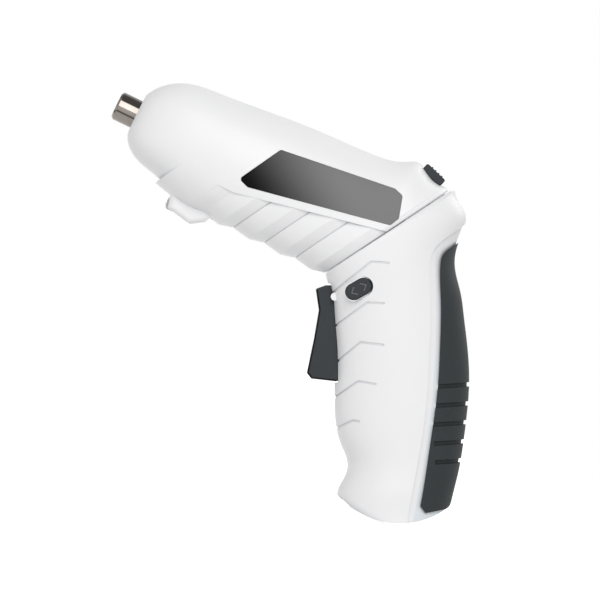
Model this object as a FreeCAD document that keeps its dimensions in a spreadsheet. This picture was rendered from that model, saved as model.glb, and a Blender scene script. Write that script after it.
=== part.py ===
"""Cordless screwdriver with a handle that turns on an oblique seam, built piece by piece."""
import FreeCAD, Part
import Sketcher
import math
import os
import re

Vector = FreeCAD.Vector
Placement = FreeCAD.Placement
Rotation = FreeCAD.Rotation

SIZES = [
    ("barrel_length", 112.5, "socket mouth to the swivel centre"),
    ("barrel_rise", 25.0, "bit axis to the top of the barrel"),
    ("barrel_drop", 24.2, "bit axis to the belly of the barrel"),
    ("barrel_half_width", 22.0, "bit axis to the side of the barrel"),
    ("handle_length", 109.2, "swivel centre to the lowest point of the base"),
    ("handle_front", 21.4, "handle axis to the front of the handle"),
    ("handle_back", 29.8, "handle axis to the back of the grip"),
    ("handle_half_width", 22.0, "handle axis to its side at the seam"),
    ("handle_rake", 61.0, "degrees that the handle leans below the bit axis"),
    ("wall", 2.2, "moulded wall"),
    ("rib_depth", 1.2, "depth of a belly scale at its valley"),
    ("rib_pitch", 13.0, "distance from scale to scale along the bit axis"),
    ("rib_inset", 0.4, "scale ridges below the smooth shell"),
    ("seam_gap", 0.4, "gap between barrel and handle at the seam"),
    ("seam_roll", 2.2, "rounded rim of the barrel at the seam"),
    ("shoulder_roll", 3.0, "rounded shoulder of the handle at the seam"),
    ("part_gap", 0.35, "gap round a piece that moves in the shell"),
    ("fit_gap", 0.05, "radial clearance of a seat or a running fit"),
    ("overrun", 2.0, "how far a cut runs past what it cuts"),
    ("panel_thickness", 1.2, "side panel"),
    ("panel_gap", 0.1, "gap round and under a side panel"),
    ("holder_radius", 5.65, "bit holder outside"),
    ("holder_length", 20.0, "bit holder from its mouth to its shoulder"),
    ("holder_edge", 0.8, "bevel at the mouth of the bit holder"),
    ("hex_flats", 6.45, "hex socket across its flats"),
    ("hex_depth", 13.0, "hex socket depth"),
    ("magnet_radius", 2.9, "magnet at the bottom of the socket"),
    ("magnet_length", 4.0, "magnet length"),
    ("spindle_radius", 4.0, "spindle behind the bit holder"),
    ("clip_groove", 0.6, "depth of the retaining groove in the spindle"),
    ("clip_thickness", 0.8, "retaining clip"),
    ("clip_radius", 5.6, "retaining clip outside"),
    ("bush_radius", 6.5, "spindle bush outside"),
    ("gearbox_start", 20.6, "front end of the gearbox nose"),
    ("gearbox_nose_radius", 9.0, "gearbox nose outside"),
    ("gearbox_face", 27.5, "front wall of the gearbox"),
    ("gearbox_face_wall", 2.5, "thickness of that front wall"),
    ("gearbox_radius", 14.8, "gearbox outside"),
    ("gearbox_end", 49.0, "rear end of the gearbox"),
    ("plate_thickness", 2.0, "gearbox rear plate"),
    ("plate_hole", 4.2, "hole in the rear plate"),
    ("gear_module", 0.5, "tooth size"),
    ("tooth_gap", 0.14, "play between meshing teeth"),
    ("ring_wall", 1.35, "ring gear wall behind its teeth"),
    ("carrier_radius", 10.3, "planet carriers"),
    ("output_carrier_start", 31.5, "front face of the output carrier"),
    ("output_carrier_thickness", 3.0, "output carrier"),
    ("carrier_thickness", 2.5, "first carrier"),
    ("second_planet_width", 5.0, "second stage teeth"),
    ("first_planet_width", 4.0, "first stage teeth"),
    ("planet_pin", 1.2, "planet pin radius"),
    ("end_play", 0.3, "axial play between turning pieces"),
    ("motor_radius", 13.9, "motor can outside"),
    ("motor_length", 32.0, "motor can length"),
    ("motor_can_wall", 1.0, "motor can wall"),
    ("motor_boss_radius", 3.6, "bearing boss on the motor face"),
    ("motor_boss_length", 1.5, "bearing boss length"),
    ("motor_shaft", 1.15, "motor shaft radius"),
    ("magnet_wall", 2.2, "field magnet thickness"),
    ("air_gap", 0.4, "air gap round the rotor"),
    ("rotor_length", 18.0, "rotor stack"),
    ("commutator_radius", 3.6, "commutator"),
    ("commutator_length", 5.0, "commutator length"),
    ("cap_thickness", 3.0, "motor end cap"),
    ("terminal_length", 4.5, "motor terminal behind the cap"),
    ("lead_radius", 1.5, "bundle of leads"),
    ("lead_bend", 6.0, "bend radius of the leads"),
    ("lead_rise", 3.0, "leads above the bit axis at the motor"),
    ("rear_wall", 3.5, "barrel wall at the seam"),
    ("hub_radius", 10.0, "swivel ring outside"),
    ("hub_bore", 6.5, "swivel ring bore"),
    ("flange_radius", 13.0, "swivel ring flanges"),
    ("flange_thickness", 2.0, "swivel ring flanges"),
    ("latch_thickness", 0.8, "latch leaf"),
    ("latch_half_length", 11.0, "half the latch leaf"),
    ("latch_width", 2.0, "latch leaf width"),
    ("latch_rise", 14.0, "swivel centre to the latch leaf"),
    ("tooth_width", 1.8, "latch tooth"),
    ("button_length", 9.4, "lock button along the barrel"),
    ("button_half_width", 6.2, "half the lock button"),
    ("button_height", 6.5, "lock button with its skirt"),
    ("button_stem", 1.6, "lock button stem radius"),
    ("button_stem_length", 8.5, "lock button stem"),
    ("button_slope", 17.7, "degrees that the lock button leans back"),
    ("lock_travel", 2.0, "lock button travel"),
    ("lock_spring_radius", 2.6, "lock spring to the middle of its wire"),
    ("lock_spring_length", 5.4, "lock spring"),
    ("shelf_thickness", 1.5, "shelf under the lock spring"),
    ("spring_wire", 0.5, "spring wire"),
    ("screw_radius", 1.25, "screw shank radius"),
    ("screw_length", 17.0, "screw shank"),
    ("screw_head_radius", 2.4, "screw head"),
    ("screw_head_height", 1.8, "screw head"),
    ("screw_seat", 7.0, "screw head seat from the parting plane"),
    ("boss_radius", 3.2, "screw boss"),
    ("lamp_half_width", 6.5, "half the lamp housing"),
    ("lamp_radius", 2.8, "lamp lens"),
    ("lamp_length", 3.4, "lamp lens length"),
    ("lamp_drop", 24.4, "bit axis to the lamp axis"),
    ("lamp_start", 33.2, "front of the lamp lens"),
    ("led_radius", 2.4, "light emitting diode"),
    ("led_length", 4.6, "diode length"),
    ("band_depth", 0.9, "step of the strip beside the grip"),
    ("grip_thickness", 2.6, "rubber grip"),
    ("groove_width", 1.7, "grip groove"),
    ("chevron_depth", 0.4, "depth of the handle's pointed grooves"),
    ("chevron_width", 0.8, "chevron lines"),
    ("edge_round", 2.0, "large rounded edges"),
    ("small_round", 0.8, "small rounded edges"),
    ("trigger_half_width", 6.5, "half the trigger"),
    ("trigger_pivot_drop", 22.5, "trigger pivot below the swivel centre"),
    ("trigger_pivot_front", 19.6, "trigger pivot before the handle axis"),
    ("trigger_pin_radius", 1.5, "trigger pin"),
    ("trigger_pin_half_length", 9.2, "half the trigger pin"),
    ("trigger_boss_radius", 2.6, "round top of the trigger at its pin"),
    ("trigger_spring_radius", 2.2, "trigger spring to the middle of its wire"),
    ("spring_seat_front", 6.5, "spring seat before the handle axis"),
    ("bar_length", 10.6, "direction bar along its slope"),
    ("bar_height", 6.6, "direction bar across its slope"),
    ("bar_slope", 27.0, "degrees that the direction bar rises rearwards"),
    ("bar_drop", 20.1, "direction bar below the swivel centre"),
    ("bar_front", 10.4, "direction bar before the handle axis"),
    ("bar_half_reach", 19.4, "half the direction bar from end to end"),
    ("cell_radius", 9.2, "battery cell"),
    ("cell_length", 65.0, "battery cell"),
    ("cell_start", 31.0, "battery cell below the swivel centre"),
    ("cell_back", 7.5, "battery cell behind the handle axis"),
    ("tab_thickness", 0.3, "battery tab"),
    ("board_thickness", 1.6, "control board"),
    ("board_half_width", 7.0, "half the control board"),
    ("board_start", 14.0, "control board below the swivel centre"),
    ("board_length", 89.0, "control board"),
    ("board_front", 3.6, "face of the control board before the handle axis"),
    ("switch_depth", 6.8, "trigger switch above the board"),
    ("switch_length", 8.0, "trigger switch along the board"),
    ("switch_start", 38.0, "trigger switch below the swivel centre"),
    ("switch_half_width", 3.0, "half the trigger switch"),
    ("port_half_width", 4.5, "half the charge socket"),
    ("port_depth", 3.3, "charge socket above the board"),
    ("port_length", 8.2, "charge socket along the board"),
    ("port_wall", 0.4, "charge socket shell"),
    ("chip_height", 1.4, "parts on the control board"),
]

doc = FreeCAD.newDocument("ElectricScrewdriver")
sheet = doc.addObject("Spreadsheet::Sheet", "Sizes")
for row, (alias, amount, meaning) in enumerate(SIZES, 1):
    sheet.set(f"A{row}", meaning)
    sheet.set(f"B{row}", str(amount))
    sheet.setAlias(f"B{row}", alias)
doc.recompute()
ALIASES = {alias for alias, amount, meaning in SIZES}


class SheetSizes:
    """Gives each size of the sheet as a plain number."""

    def __getattr__(self, alias):
        return float(sheet.get(alias))


D = SheetSizes()
NODES = []

FULL_TURN = 360.0
QUARTER_TURN = 90.0
UPRIGHT = Rotation(Vector(0, 1, 0), 0)
ALONG_AXIS = Rotation(Vector(0, 1, 0), QUARTER_TURN)
ACROSS = Rotation(Vector(1, 0, 0), -QUARTER_TURN)

SUN_TEETH = 9
PLANET_TEETH = 18
RING_TEETH = 45
PLANET_COUNT = 3
RING_SAMPLES = 18
FORM_EXPONENT = 2.35
CAVITY_EXPONENT = 2.1

PIVOT = Vector(D.barrel_length, 0, 0)
HANDLE_FRAME = Placement(PIVOT, Rotation(Vector(0, 1, 0), D.handle_rake - QUARTER_TURN))
SEAM_FRAME = Placement(PIVOT, Rotation(Vector(0, 1, 0), QUARTER_TURN + D.handle_rake / 2))
SEAM_SHEAR = math.tan(math.radians(D.handle_rake / 2))
SEAM_FACING = math.cos(math.radians(D.handle_rake / 2))
REACH = D.barrel_length + D.handle_length


def formula(text):
    """Writes the sheet's name before each of its sizes in a formula."""
    return re.sub(r"[a-z_]+", lambda word: "Sizes." + word[0] if word[0] in ALIASES else word[0], text)


def bind(thing, formulas):
    """Ties properties of an object to formulas of the sheet's sizes."""
    for path, text in formulas.items():
        thing.setExpression(path, formula(text))
    return thing


def node(thing, label, frame=None):
    """Names an object as one of the part's pieces and puts it in its frame."""
    thing.Label = label
    if frame is not None:
        thing.Placement = frame
    NODES.append(thing)
    return thing


def piece(label, shape, frame=None):
    """Makes a piece from a finished shape."""
    thing = doc.addObject("Part::Feature", label)
    thing.Shape = shape
    return node(thing, label, frame)


def in_handle(rearward, downward, across=0):
    """Point of the part's frame from handle measures."""
    return HANDLE_FRAME.multVec(Vector(rearward, across, -downward))


def at_handle(rearward, downward, across=0, turn=UPRIGHT):
    """Placement in the handle from handle measures."""
    return HANDLE_FRAME.multiply(Placement(Vector(rearward, across, -downward), turn))


def at_seam(outward, along=0, across=0, turn=UPRIGHT):
    """Placement at the seam: outward is up the seam, along runs into the handle."""
    return SEAM_FRAME.multiply(Placement(Vector(-outward, across, along), turn))


def placed(shape, frame):
    """Copy of a shape moved into a frame."""
    moved = shape.copy()
    moved.Placement = frame.multiply(moved.Placement)
    return moved


def superellipse(half_width, low, high, exponent):
    """Points (across, up) round a rounded section whose parts above and below may differ."""
    points = []
    for step in range(RING_SAMPLES):
        angle = math.radians(FULL_TURN) * (step + 1 / 3) / RING_SAMPLES
        across = math.copysign(abs(math.cos(angle)) ** (2 / exponent), math.cos(angle))
        upward = math.copysign(abs(math.sin(angle)) ** (2 / exponent), math.sin(angle))
        points.append((half_width * across, (high if upward > 0 else low) * upward))
    return points


def closed_curve(points):
    """Smooth closed wire through points."""
    curve = Part.BSplineCurve()
    curve.interpolate(Points=points, PeriodicFlag=True)
    return Part.Wire([curve.toShape()])


BARREL_STATION_SHARES = [
    (0.0756, 0.328, 0.340, 0.364),
    (0.0889, 0.440, 0.450, 0.482),
    (0.1156, 0.580, 0.568, 0.627),
    (0.1511, 0.696, 0.648, 0.736),
    (0.1910, 0.772, 0.698, 0.809),
    (0.2400, 0.818, 0.752, 0.864),
    (0.3020, 0.842, 0.862, 0.905),
    (0.4000, 0.882, 0.962, 0.950),
    (0.5330, 0.944, 0.992, 0.979),
    (0.6670, 0.990, 1.000, 0.995),
    (0.7500, 1.004, 1.000, 1.000),
    (0.8330, 1.022, 1.000, 1.000),
    (0.8880, 1.044, 1.000, 1.000),
    (0.9330, 1.090, 1.000, 1.000),
    (0.9670, 1.160, 1.000, 1.000),
    (1.0000, 1.222, 1.000, 1.000),
    (1.0300, 1.180, 1.000, 1.000),
    (1.0600, 1.105, 1.000, 1.000),
    (1.1000, 1.066, 1.000, 1.000),
    (1.1500, 1.052, 1.000, 1.000),
    (1.2000, 1.050, 1.000, 1.000),
    (1.2500, 1.050, 1.000, 1.000),
    (1.3000, 1.050, 1.000, 1.000),
]
CAVITY_FROM_SHARE = 0.22


def barrel_form(inset, exponent=FORM_EXPONENT, from_share=0):
    """Barrel outside, or a smaller copy of it a wall inside."""
    rings = []
    for along, high, low, wide in BARREL_STATION_SHARES:
        if along < from_share:
            continue
        ring = superellipse(D.barrel_half_width * wide - inset, D.barrel_drop * low - inset,
                            D.barrel_rise * high - inset, exponent)
        station = D.barrel_length * along
        rings.append(closed_curve([Vector(station, across, upward) for across, upward in ring]))
    return Part.makeLoft(rings, True, False)


def sheared_ring(station, half_width, low, high):
    """Rounded section that leans with the seam."""
    ring = superellipse(half_width, low, high, FORM_EXPONENT)
    return closed_curve([Vector(station + upward * SEAM_SHEAR, across, upward) for across, upward in ring])


RIB_COUNT = 4
RIB_RIDGE_SHARE = 0.62
RIB_LINE_SHARE = 0.03
RIB_START_SHARES = [(-0.54, 0.68), (-0.27, 0.74)]


def rib_form():
    """Belly scales: each rises from a sharp valley and falls to the next, along the seam's slope."""
    depth = D.rib_inset + D.rib_depth
    profile = [(share - RIB_COUNT, depth * sunk) for share, sunk in RIB_START_SHARES]
    profile += [(-RIB_COUNT, depth), (RIB_RIDGE_SHARE - RIB_COUNT, D.rib_inset)]
    for scale in range(1 - RIB_COUNT, 2):
        profile += [(scale - RIB_LINE_SHARE, depth), (scale, depth + D.rib_inset),
                    (scale + RIB_LINE_SHARE, depth), (scale + RIB_RIDGE_SHARE, D.rib_inset)]
    rings = []
    for along, sunk in profile:
        rings.append(sheared_ring(D.barrel_length + D.rib_pitch * along, D.barrel_half_width - sunk,
                                  D.barrel_drop - sunk, D.barrel_rise - sunk))
    return Part.makeLoft(rings, True, True)


SEAM_RISE_SHARE = 1.06
BARREL_RIM_SHARES = [(-1.10, -0.04), (-0.60, 0.08), (-0.25, 0.28), (0, 0.60)]
HANDLE_RIM_SHARES = [(0, 0.38), (0.12, 0.20), (0.35, 0.00), (0.70, -0.22), (1.10, -0.46), (1.60, -0.76)]


def rim_room(roll, rim_shares):
    """Room to take away round a rim at the seam, so that it is rounded."""
    rings = []
    for along, sunk in rim_shares:
        rings.append(sheared_ring(D.barrel_length + roll * along, D.barrel_half_width - roll * sunk,
                                  D.barrel_drop - roll * sunk, D.barrel_rise * SEAM_RISE_SHARE - roll * sunk))
    reach = [along * roll * SEAM_FACING for along, sunk in rim_shares]
    return slab(SEAM_FRAME, reach[0] + D.fit_gap, reach[-1] - D.fit_gap).cut(Part.makeLoft(rings, True, False))


CHEEK_SHARES = [
    (0.338, 0.835, 0.905),
    (0.390, 0.885, 0.915),
    (0.450, 0.940, 0.935),
    (0.520, 0.970, 0.950),
]


def cheek_form():
    """Lower cheek that steps out behind the nose and dies away into the barrel."""
    rings = [sheared_ring(D.barrel_length * along, D.barrel_half_width * wide, D.barrel_drop * low,
                          D.barrel_rise / 2) for along, low, wide in CHEEK_SHARES]
    return Part.makeLoft(rings, True, False)


HANDLE_STATION_SHARES = [
    (-0.303, 1.140, 0.900, 1.000),
    (-0.248, 1.140, 0.900, 1.000),
    (-0.193, 1.140, 0.905, 1.000),
    (-0.138, 1.136, 0.945, 1.000),
    (-0.083, 1.131, 1.027, 1.000),
    (-0.028, 1.126, 1.060, 0.995),
    (0.018, 1.121, 0.993, 0.986),
    (0.064, 1.107, 0.925, 0.973),
    (0.119, 1.056, 0.893, 0.955),
    (0.174, 1.000, 0.919, 0.927),
    (0.275, 0.972, 0.970, 0.886),
    (0.422, 0.967, 1.003, 0.845),
    (0.532, 1.000, 0.997, 0.823),
    (0.642, 1.009, 0.946, 0.814),
    (0.725, 0.930, 0.893, 0.800),
    (0.794, 0.842, 0.842, 0.791),
    (0.835, 0.910, 0.805, 0.795),
    (0.881, 1.040, 0.755, 0.814),
    (0.917, 1.070, 0.715, 0.823),
    (0.963, 1.070, 0.664, 0.823),
    (1.046, 1.070, 0.570, 0.823),
]


def handle_form(front_inset, back_inset, side_inset, exponent=FORM_EXPONENT):
    """Handle outside, or a smaller copy of it a wall inside."""
    rings = []
    for downward, front, back, wide in HANDLE_STATION_SHARES:
        near = D.handle_front * front - front_inset
        far = D.handle_back * back - back_inset
        ring = superellipse((near + far) / 2, D.handle_half_width * wide - side_inset,
                            D.handle_half_width * wide - side_inset, exponent)
        rings.append(closed_curve([in_handle((far - near) / 2 + rearward, D.handle_length * downward, across)
                                   for rearward, across in ring]))
    return Part.makeLoft(rings, True, False)


def handle_skin(inset):
    """Handle form drawn in evenly by one depth."""
    return handle_form(inset, inset, inset)


def rounded_wire(points, radius):
    """Closed wire of straight runs with a tangent arc at each corner."""
    edges = []
    starts = []
    ends = []
    for index, corner in enumerate(points):
        before = (points[index - 1] - corner).normalize()
        after = (points[(index + 1) % len(points)] - corner).normalize()
        half = before.getAngle(after) / 2
        middle = (before + after).normalize()
        reach = radius / math.tan(half)
        starts.append(corner + before * reach)
        ends.append(corner + after * reach)
        bulge = corner + middle * (radius / math.sin(half) - radius)
        edges.append(Part.Arc(starts[-1], bulge, ends[-1]).toShape())
    runs = []
    for index, arc in enumerate(edges):
        runs.append(arc)
        runs.append(Part.makeLine(ends[index], starts[(index + 1) % len(points)]))
    return Part.Wire(runs)


def through(wire, low, high):
    """Prism of a flat wire drawn at the parting plane, from one side measure to another."""
    face = Part.Face(wire)
    face.translate(Vector(0, low, 0))
    return face.extrude(Vector(0, high - low, 0))


def barrel_points(shares):
    """Points of the barrel's side view from shares of its length and rise."""
    return [Vector(D.barrel_length * along, 0, D.barrel_rise * up) for along, up in shares]


def handle_points(shares):
    """Points of the handle's side view from shares of its back depth and length."""
    return [in_handle(D.handle_back * rearward, D.handle_length * downward) for rearward, downward in shares]


def polygon(points):
    """Closed wire of straight runs."""
    return Part.makePolygon(points + points[:1])


def slab(frame, low, high):
    """Wide block between two heights of a frame."""
    block = Part.makeBox(2 * REACH, 2 * REACH, high - low, Vector(-REACH, -REACH, low))
    return placed(block, frame)


def bar(radius, start, length, frame=Placement()):
    """Round bar along the upright of a frame."""
    return placed(Part.makeCylinder(radius, length, Vector(0, 0, start)), frame)


def axis_bar(radius, start, end):
    """Round bar on the bit axis."""
    return bar(radius, 0, end - start, Placement(Vector(start, 0, 0), ALONG_AXIS))


def cross_bar(radius, point, low, high):
    """Round bar across the part at a point of its side view."""
    return bar(radius, 0, high - low, Placement(Vector(point.x, low, point.z), ACROSS))


def plain_box(frame, low, high):
    """Block between two corners of a frame."""
    span = high - low
    return placed(Part.makeBox(span.x, span.y, span.z, low), frame)


def mirrored(shape):
    """Copy of a shape on the other side of the parting plane."""
    return shape.mirror(Vector(0, 0, 0), Vector(0, 1, 0))


def half(shape, side):
    """Part of a shape on one side of the parting plane."""
    block = Part.makeBox(2 * REACH, REACH, 2 * REACH, Vector(-REACH, 0, -REACH))
    return shape.common(block if side > 0 else mirrored(block))


# Barrel side view.
RIB_ZONE_SHARES = [(0.428, -0.424), (0.488, -0.424), (1.004, 0.055), (1.40, 0.42), (1.40, -1.80),
                   (0.250, -1.80)]
PANEL_SHARES = [(0.484, -0.204), (0.566, 0.464), (0.967, 0.692), (1.000, 0.648),
                (1.022, 0.310), (1.006, 0.165), (0.521, -0.260)]
LAMP_SHARES = [(0.296, -0.720), (0.296, -0.890), (0.307, -1.068),
               (0.397, -1.140), (0.440, -1.012), (0.462, -0.720)]
BARREL_SCREW_SHARES = [(0.338, 0.700), (0.587, -0.700), (0.853, 0.790), (0.827, -0.690)]
CRADLE_SHARES = [(0.400, 0.418), (0.516, 0.534), (0.676, 0.694)]
BUTTON_SHARES = (1.0693, 1.212)

button_top = barrel_points([BUTTON_SHARES])[0]
BUTTON_FRAME = Placement(button_top, Rotation(Vector(0, 1, 0), D.button_slope))

smooth_barrel = barrel_form(0)
body_barrel = smooth_barrel.fuse(cheek_form())
rib_zone = through(polygon(barrel_points(RIB_ZONE_SHARES)), -REACH, REACH)
barrel_solid = body_barrel.cut(rib_zone).fuse(rib_form().common(rib_zone))

LAMP_EDGE_SHARE = 0.8
lamp_block = through(polygon(barrel_points(LAMP_SHARES)), -D.lamp_half_width, D.lamp_half_width)
lamp_edges = [edge for edge in lamp_block.Edges if edge.BoundBox.YLength < D.fit_gap
              and edge.BoundBox.ZMax < -D.barrel_drop * LAMP_EDGE_SHARE]
lamp_block = lamp_block.makeFillet(D.edge_round, lamp_edges)
barrel_solid = barrel_solid.fuse(lamp_block)

barrel_side = slab(SEAM_FRAME, -2 * REACH, -D.seam_gap / 2)
panel_floor = barrel_form(D.panel_thickness + D.panel_gap)
barrel_solid = barrel_solid.common(barrel_side).cut(rim_room(D.seam_roll, BARREL_RIM_SHARES))

gearbox_room = axis_bar(D.gearbox_nose_radius + D.fit_gap, D.gearbox_start - D.fit_gap, D.gearbox_face)
gearbox_room = gearbox_room.fuse(axis_bar(D.gearbox_radius + D.fit_gap, D.gearbox_face - D.fit_gap,
                                          D.gearbox_end + D.plate_thickness))
holder_room = axis_bar(D.holder_radius + D.part_gap, -D.overrun, D.gearbox_start)

cavity_front = D.gearbox_face + D.wall
barrel_cavity = barrel_form(D.wall + D.rib_depth, CAVITY_EXPONENT, CAVITY_FROM_SHARE)
barrel_cavity = barrel_cavity.common(slab(SEAM_FRAME, -2 * REACH, -D.seam_gap / 2 - D.rear_wall))
barrel_cavity = barrel_cavity.common(Part.makeBox(2 * REACH, 2 * REACH, 2 * REACH,
                                                  Vector(cavity_front, -REACH, -REACH)))

cradle_bore = axis_bar(D.motor_radius + D.fit_gap, D.gearbox_end, D.barrel_length)
cradles = []
for start_share, end_share in CRADLE_SHARES:
    plate = Part.makeBox(D.barrel_length * (end_share - start_share), 2 * REACH, 2 * REACH,
                         Vector(D.barrel_length * start_share, -REACH, -REACH))
    cradles.append(plate.cut([cradle_bore, gearbox_room]))

barrel_screw_points = barrel_points(BARREL_SCREW_SHARES)
bosses = [cross_bar(D.boss_radius, point, -REACH, REACH) for point in barrel_screw_points]
shelf_top = -D.button_height - D.lock_spring_length - D.spring_wire / 2
shelf_low = Vector(-D.lock_spring_radius - D.spring_wire, -REACH, shelf_top - D.shelf_thickness)
shelf_high = Vector(D.button_length, REACH, shelf_top)
shelf = plain_box(BUTTON_FRAME, shelf_low, shelf_high)
latch_back = -D.seam_gap / 2 - D.rear_wall
latch_front = latch_back - D.part_gap - D.latch_width
posts = []
for side in (-1, 1):
    near = side * D.button_half_width - D.latch_thickness
    posts.append(plain_box(SEAM_FRAME,
                           Vector(-D.latch_rise, near, latch_front),
                           Vector(D.latch_thickness - D.latch_rise, near + 2 * D.latch_thickness,
                                  latch_back + D.fit_gap)))
barrel_cavity = barrel_cavity.cut(cradles + bosses + [shelf])

hub_room = bar(D.hub_radius + D.fit_gap, -D.rear_wall - D.overrun, D.rear_wall + 2 * D.overrun, SEAM_FRAME)
button_room = plain_box(BUTTON_FRAME,
                        Vector(-D.button_length / 2 - D.part_gap, -D.button_half_width - D.part_gap,
                               -D.button_height - D.lock_travel - D.part_gap),
                        Vector(D.button_length / 2 + D.part_gap, D.button_half_width + D.part_gap, REACH))
button_well = bar(D.lock_spring_radius + D.spring_wire + D.part_gap, shelf_top, REACH, BUTTON_FRAME)
stem_low = -D.button_height - D.button_stem_length - D.lock_travel - D.part_gap
stem_well = bar(D.button_stem + D.part_gap, stem_low, REACH, BUTTON_FRAME)
lamp_axis = Placement(Vector(D.lamp_start, 0, -D.lamp_drop), ALONG_AXIS)
lamp_room = bar(D.lamp_radius + D.fit_gap, -D.overrun, D.lamp_length + D.led_length + D.overrun, lamp_axis)

panel_prism = through(rounded_wire(barrel_points(PANEL_SHARES), D.panel_thickness), -REACH, REACH)
panel_skin = smooth_barrel.cut(barrel_form(D.panel_thickness))
panel_room = through(rounded_wire(barrel_points(PANEL_SHARES), D.panel_thickness).makeOffset2D(D.panel_gap),
                     -REACH, REACH).cut(panel_floor)
panels = panel_prism.common(panel_skin)


def shank_rooms(points):
    """Holes for screw shanks, drawn on the left side."""
    low = D.screw_seat - D.screw_length - D.part_gap
    return [cross_bar(D.screw_radius + D.fit_gap, point, low, D.part_gap) for point in points]


def head_rooms(points):
    """Sunk seats for screw heads on the right side."""
    return [cross_bar(D.screw_head_radius + D.part_gap, point, D.screw_seat, REACH) for point in points]


barrel_left = half(barrel_solid, -1)
barrel_left = barrel_left.cut([barrel_cavity, gearbox_room, holder_room, hub_room, button_room, button_well,
                               stem_well, lamp_room, panel_room] + shank_rooms(barrel_screw_points))
barrel_left = barrel_left.fuse(posts[0])
piece("barrel_shell_left", barrel_left)
piece("barrel_shell_right", mirrored(barrel_left).cut(head_rooms(barrel_screw_points)))
piece("side_panel_left", half(panels, -1))
piece("side_panel_right", half(panels, 1))

# Handle side view.
TOE_ARC_SHARES = [(-0.770, 0.8815), (-0.745, 0.8996), (-0.690, 0.911)]
BASE_ARC_SHARES = [(-0.690, 0.911), (0.200, 1.000), (0.6195, 0.9606)]
HEEL_ARC_SHARES = [(0.6195, 0.9606), (0.659, 0.9537), (0.683, 0.9426)]
GRIP_EDGE_SHARES = [(1.060, -0.010), (0.946, 0.043), (0.742, 0.080), (0.700, 0.120),
                    (0.683, 0.240), (0.640, 0.400), (0.585, 0.540), (0.520, 0.640),
                    (0.435, 0.755), (0.345, 0.875), (0.285, 0.945)]
GRIP_FOOT_SHARES = [(0.345, 0.970), (0.620, 0.962), (1.200, 0.905), (1.400, 0.400), (1.400, 0.000)]
BAND_EDGE_SHARES = [(1.080, -0.030), (0.852, 0.013), (0.661, 0.052), (0.594, 0.080),
                    (0.563, 0.118), (0.552, 0.236), (0.505, 0.410), (0.453, 0.548),
                    (0.345, 0.721), (0.228, 0.858), (0.120, 0.985)]
BAND_FOOT_SHARES = [(0.110, 1.100), (1.400, 1.100), (1.400, -0.030)]
GROOVE_SHARES = [0.535, 0.601, 0.666, 0.732, 0.797]
CHEVRON_SHARES = [
    ((-0.95, 0.246), (-0.175, 0.092), (0.054, 0.100)),
    ((-0.95, 0.358), (-0.248, 0.232), (-0.034, 0.238)),
    ((-0.95, 0.490), (-0.359, 0.368), (-0.067, 0.382)),
    ((-0.95, 0.596), (-0.416, 0.503), (-0.191, 0.516)),
    ((-0.95, 0.690), (-0.507, 0.637), (-0.423, 0.642)),
]
HANDLE_SCREW_SHARES = [(0.640, 0.000), (-0.560, 0.562), (-0.450, 0.880), (0.055, 0.940)]
CELL_CRADLE_SHARES = [(0.500, 0.520), (0.790, 0.810)]


def smooth_region(edge_shares, foot_shares):
    """Prism with one smooth edge, closed round by straight runs."""
    edge = handle_points(edge_shares)
    foot = handle_points(foot_shares)
    curve = Part.BSplineCurve()
    curve.interpolate(Points=edge)
    wire = Part.Wire([curve.toShape(), Part.makePolygon(edge[-1:] + foot + edge[:1])])
    return through(wire, -REACH, REACH)


base_arcs = []
for shares in (TOE_ARC_SHARES, BASE_ARC_SHARES, HEEL_ARC_SHARES):
    first, middle, last = handle_points(shares)
    base_arcs.append(Part.Arc(first, middle, last).toShape())
toe_side = in_handle(-REACH, D.handle_length * TOE_ARC_SHARES[0][1])
heel_side = in_handle(REACH, D.handle_length * HEEL_ARC_SHARES[-1][1])
base_sides = Part.makePolygon([last, heel_side, in_handle(REACH, -REACH), in_handle(-REACH, -REACH), toe_side,
                               handle_points(TOE_ARC_SHARES)[0]])
base_prism = through(Part.Wire(base_arcs + base_sides.Edges), -REACH, REACH)
handle_side = slab(SEAM_FRAME, D.seam_gap / 2, 2 * REACH)
handle_solid = handle_skin(0).common(base_prism).common(handle_side)
handle_solid = handle_solid.cut(rim_room(D.shoulder_roll, HANDLE_RIM_SHARES))
handle_band = handle_skin(D.band_depth)

grip_region = smooth_region(GRIP_EDGE_SHARES, GRIP_FOOT_SHARES)
band_region = smooth_region(BAND_EDGE_SHARES, BAND_FOOT_SHARES)
grip_back = handle_skin(D.grip_thickness)
grip_solid = handle_solid.common(grip_region).cut(grip_back)
grooves = []
for share in GROOVE_SHARES:
    grooves.append(plain_box(at_handle(0, D.handle_length * share),
                             Vector(D.handle_back / 2, -REACH, -D.groove_width / 2),
                             Vector(REACH, REACH, D.groove_width / 2)).cut(handle_band))
grip_left = half(grip_solid.cut(grooves), -1)
piece("back_grip", grip_left.fuse(mirrored(grip_left)).removeSplitter())

chevrons = []
for line in CHEVRON_SHARES:
    corners = handle_points(line)
    for first, second in zip(corners, corners[1:]):
        run = (second - first).normalize()
        side = Vector(run.z, 0, -run.x) * (D.chevron_width / 2)
        strip = polygon([first + side, second + side, second - side, first - side])
        chevrons.append(through(strip, -REACH, REACH))
chevron_floor = handle_skin(D.chevron_depth)
recesses = [band_region.cut(handle_band)]
recesses += [chevron.cut(chevron_floor) for chevron in chevrons]

handle_cavity = handle_form(D.wall + D.band_depth, D.wall + D.grip_thickness,
                            D.wall + D.grip_thickness, CAVITY_EXPONENT)
handle_cavity = handle_cavity.common(slab(SEAM_FRAME, D.seam_gap / 2 + D.rear_wall, 2 * REACH))
CAVITY_FLOOR_SHARE = 0.955
cavity_floor = slab(HANDLE_FRAME, -D.handle_length * CAVITY_FLOOR_SHARE, REACH)
handle_cavity = handle_cavity.common(cavity_floor)

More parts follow.
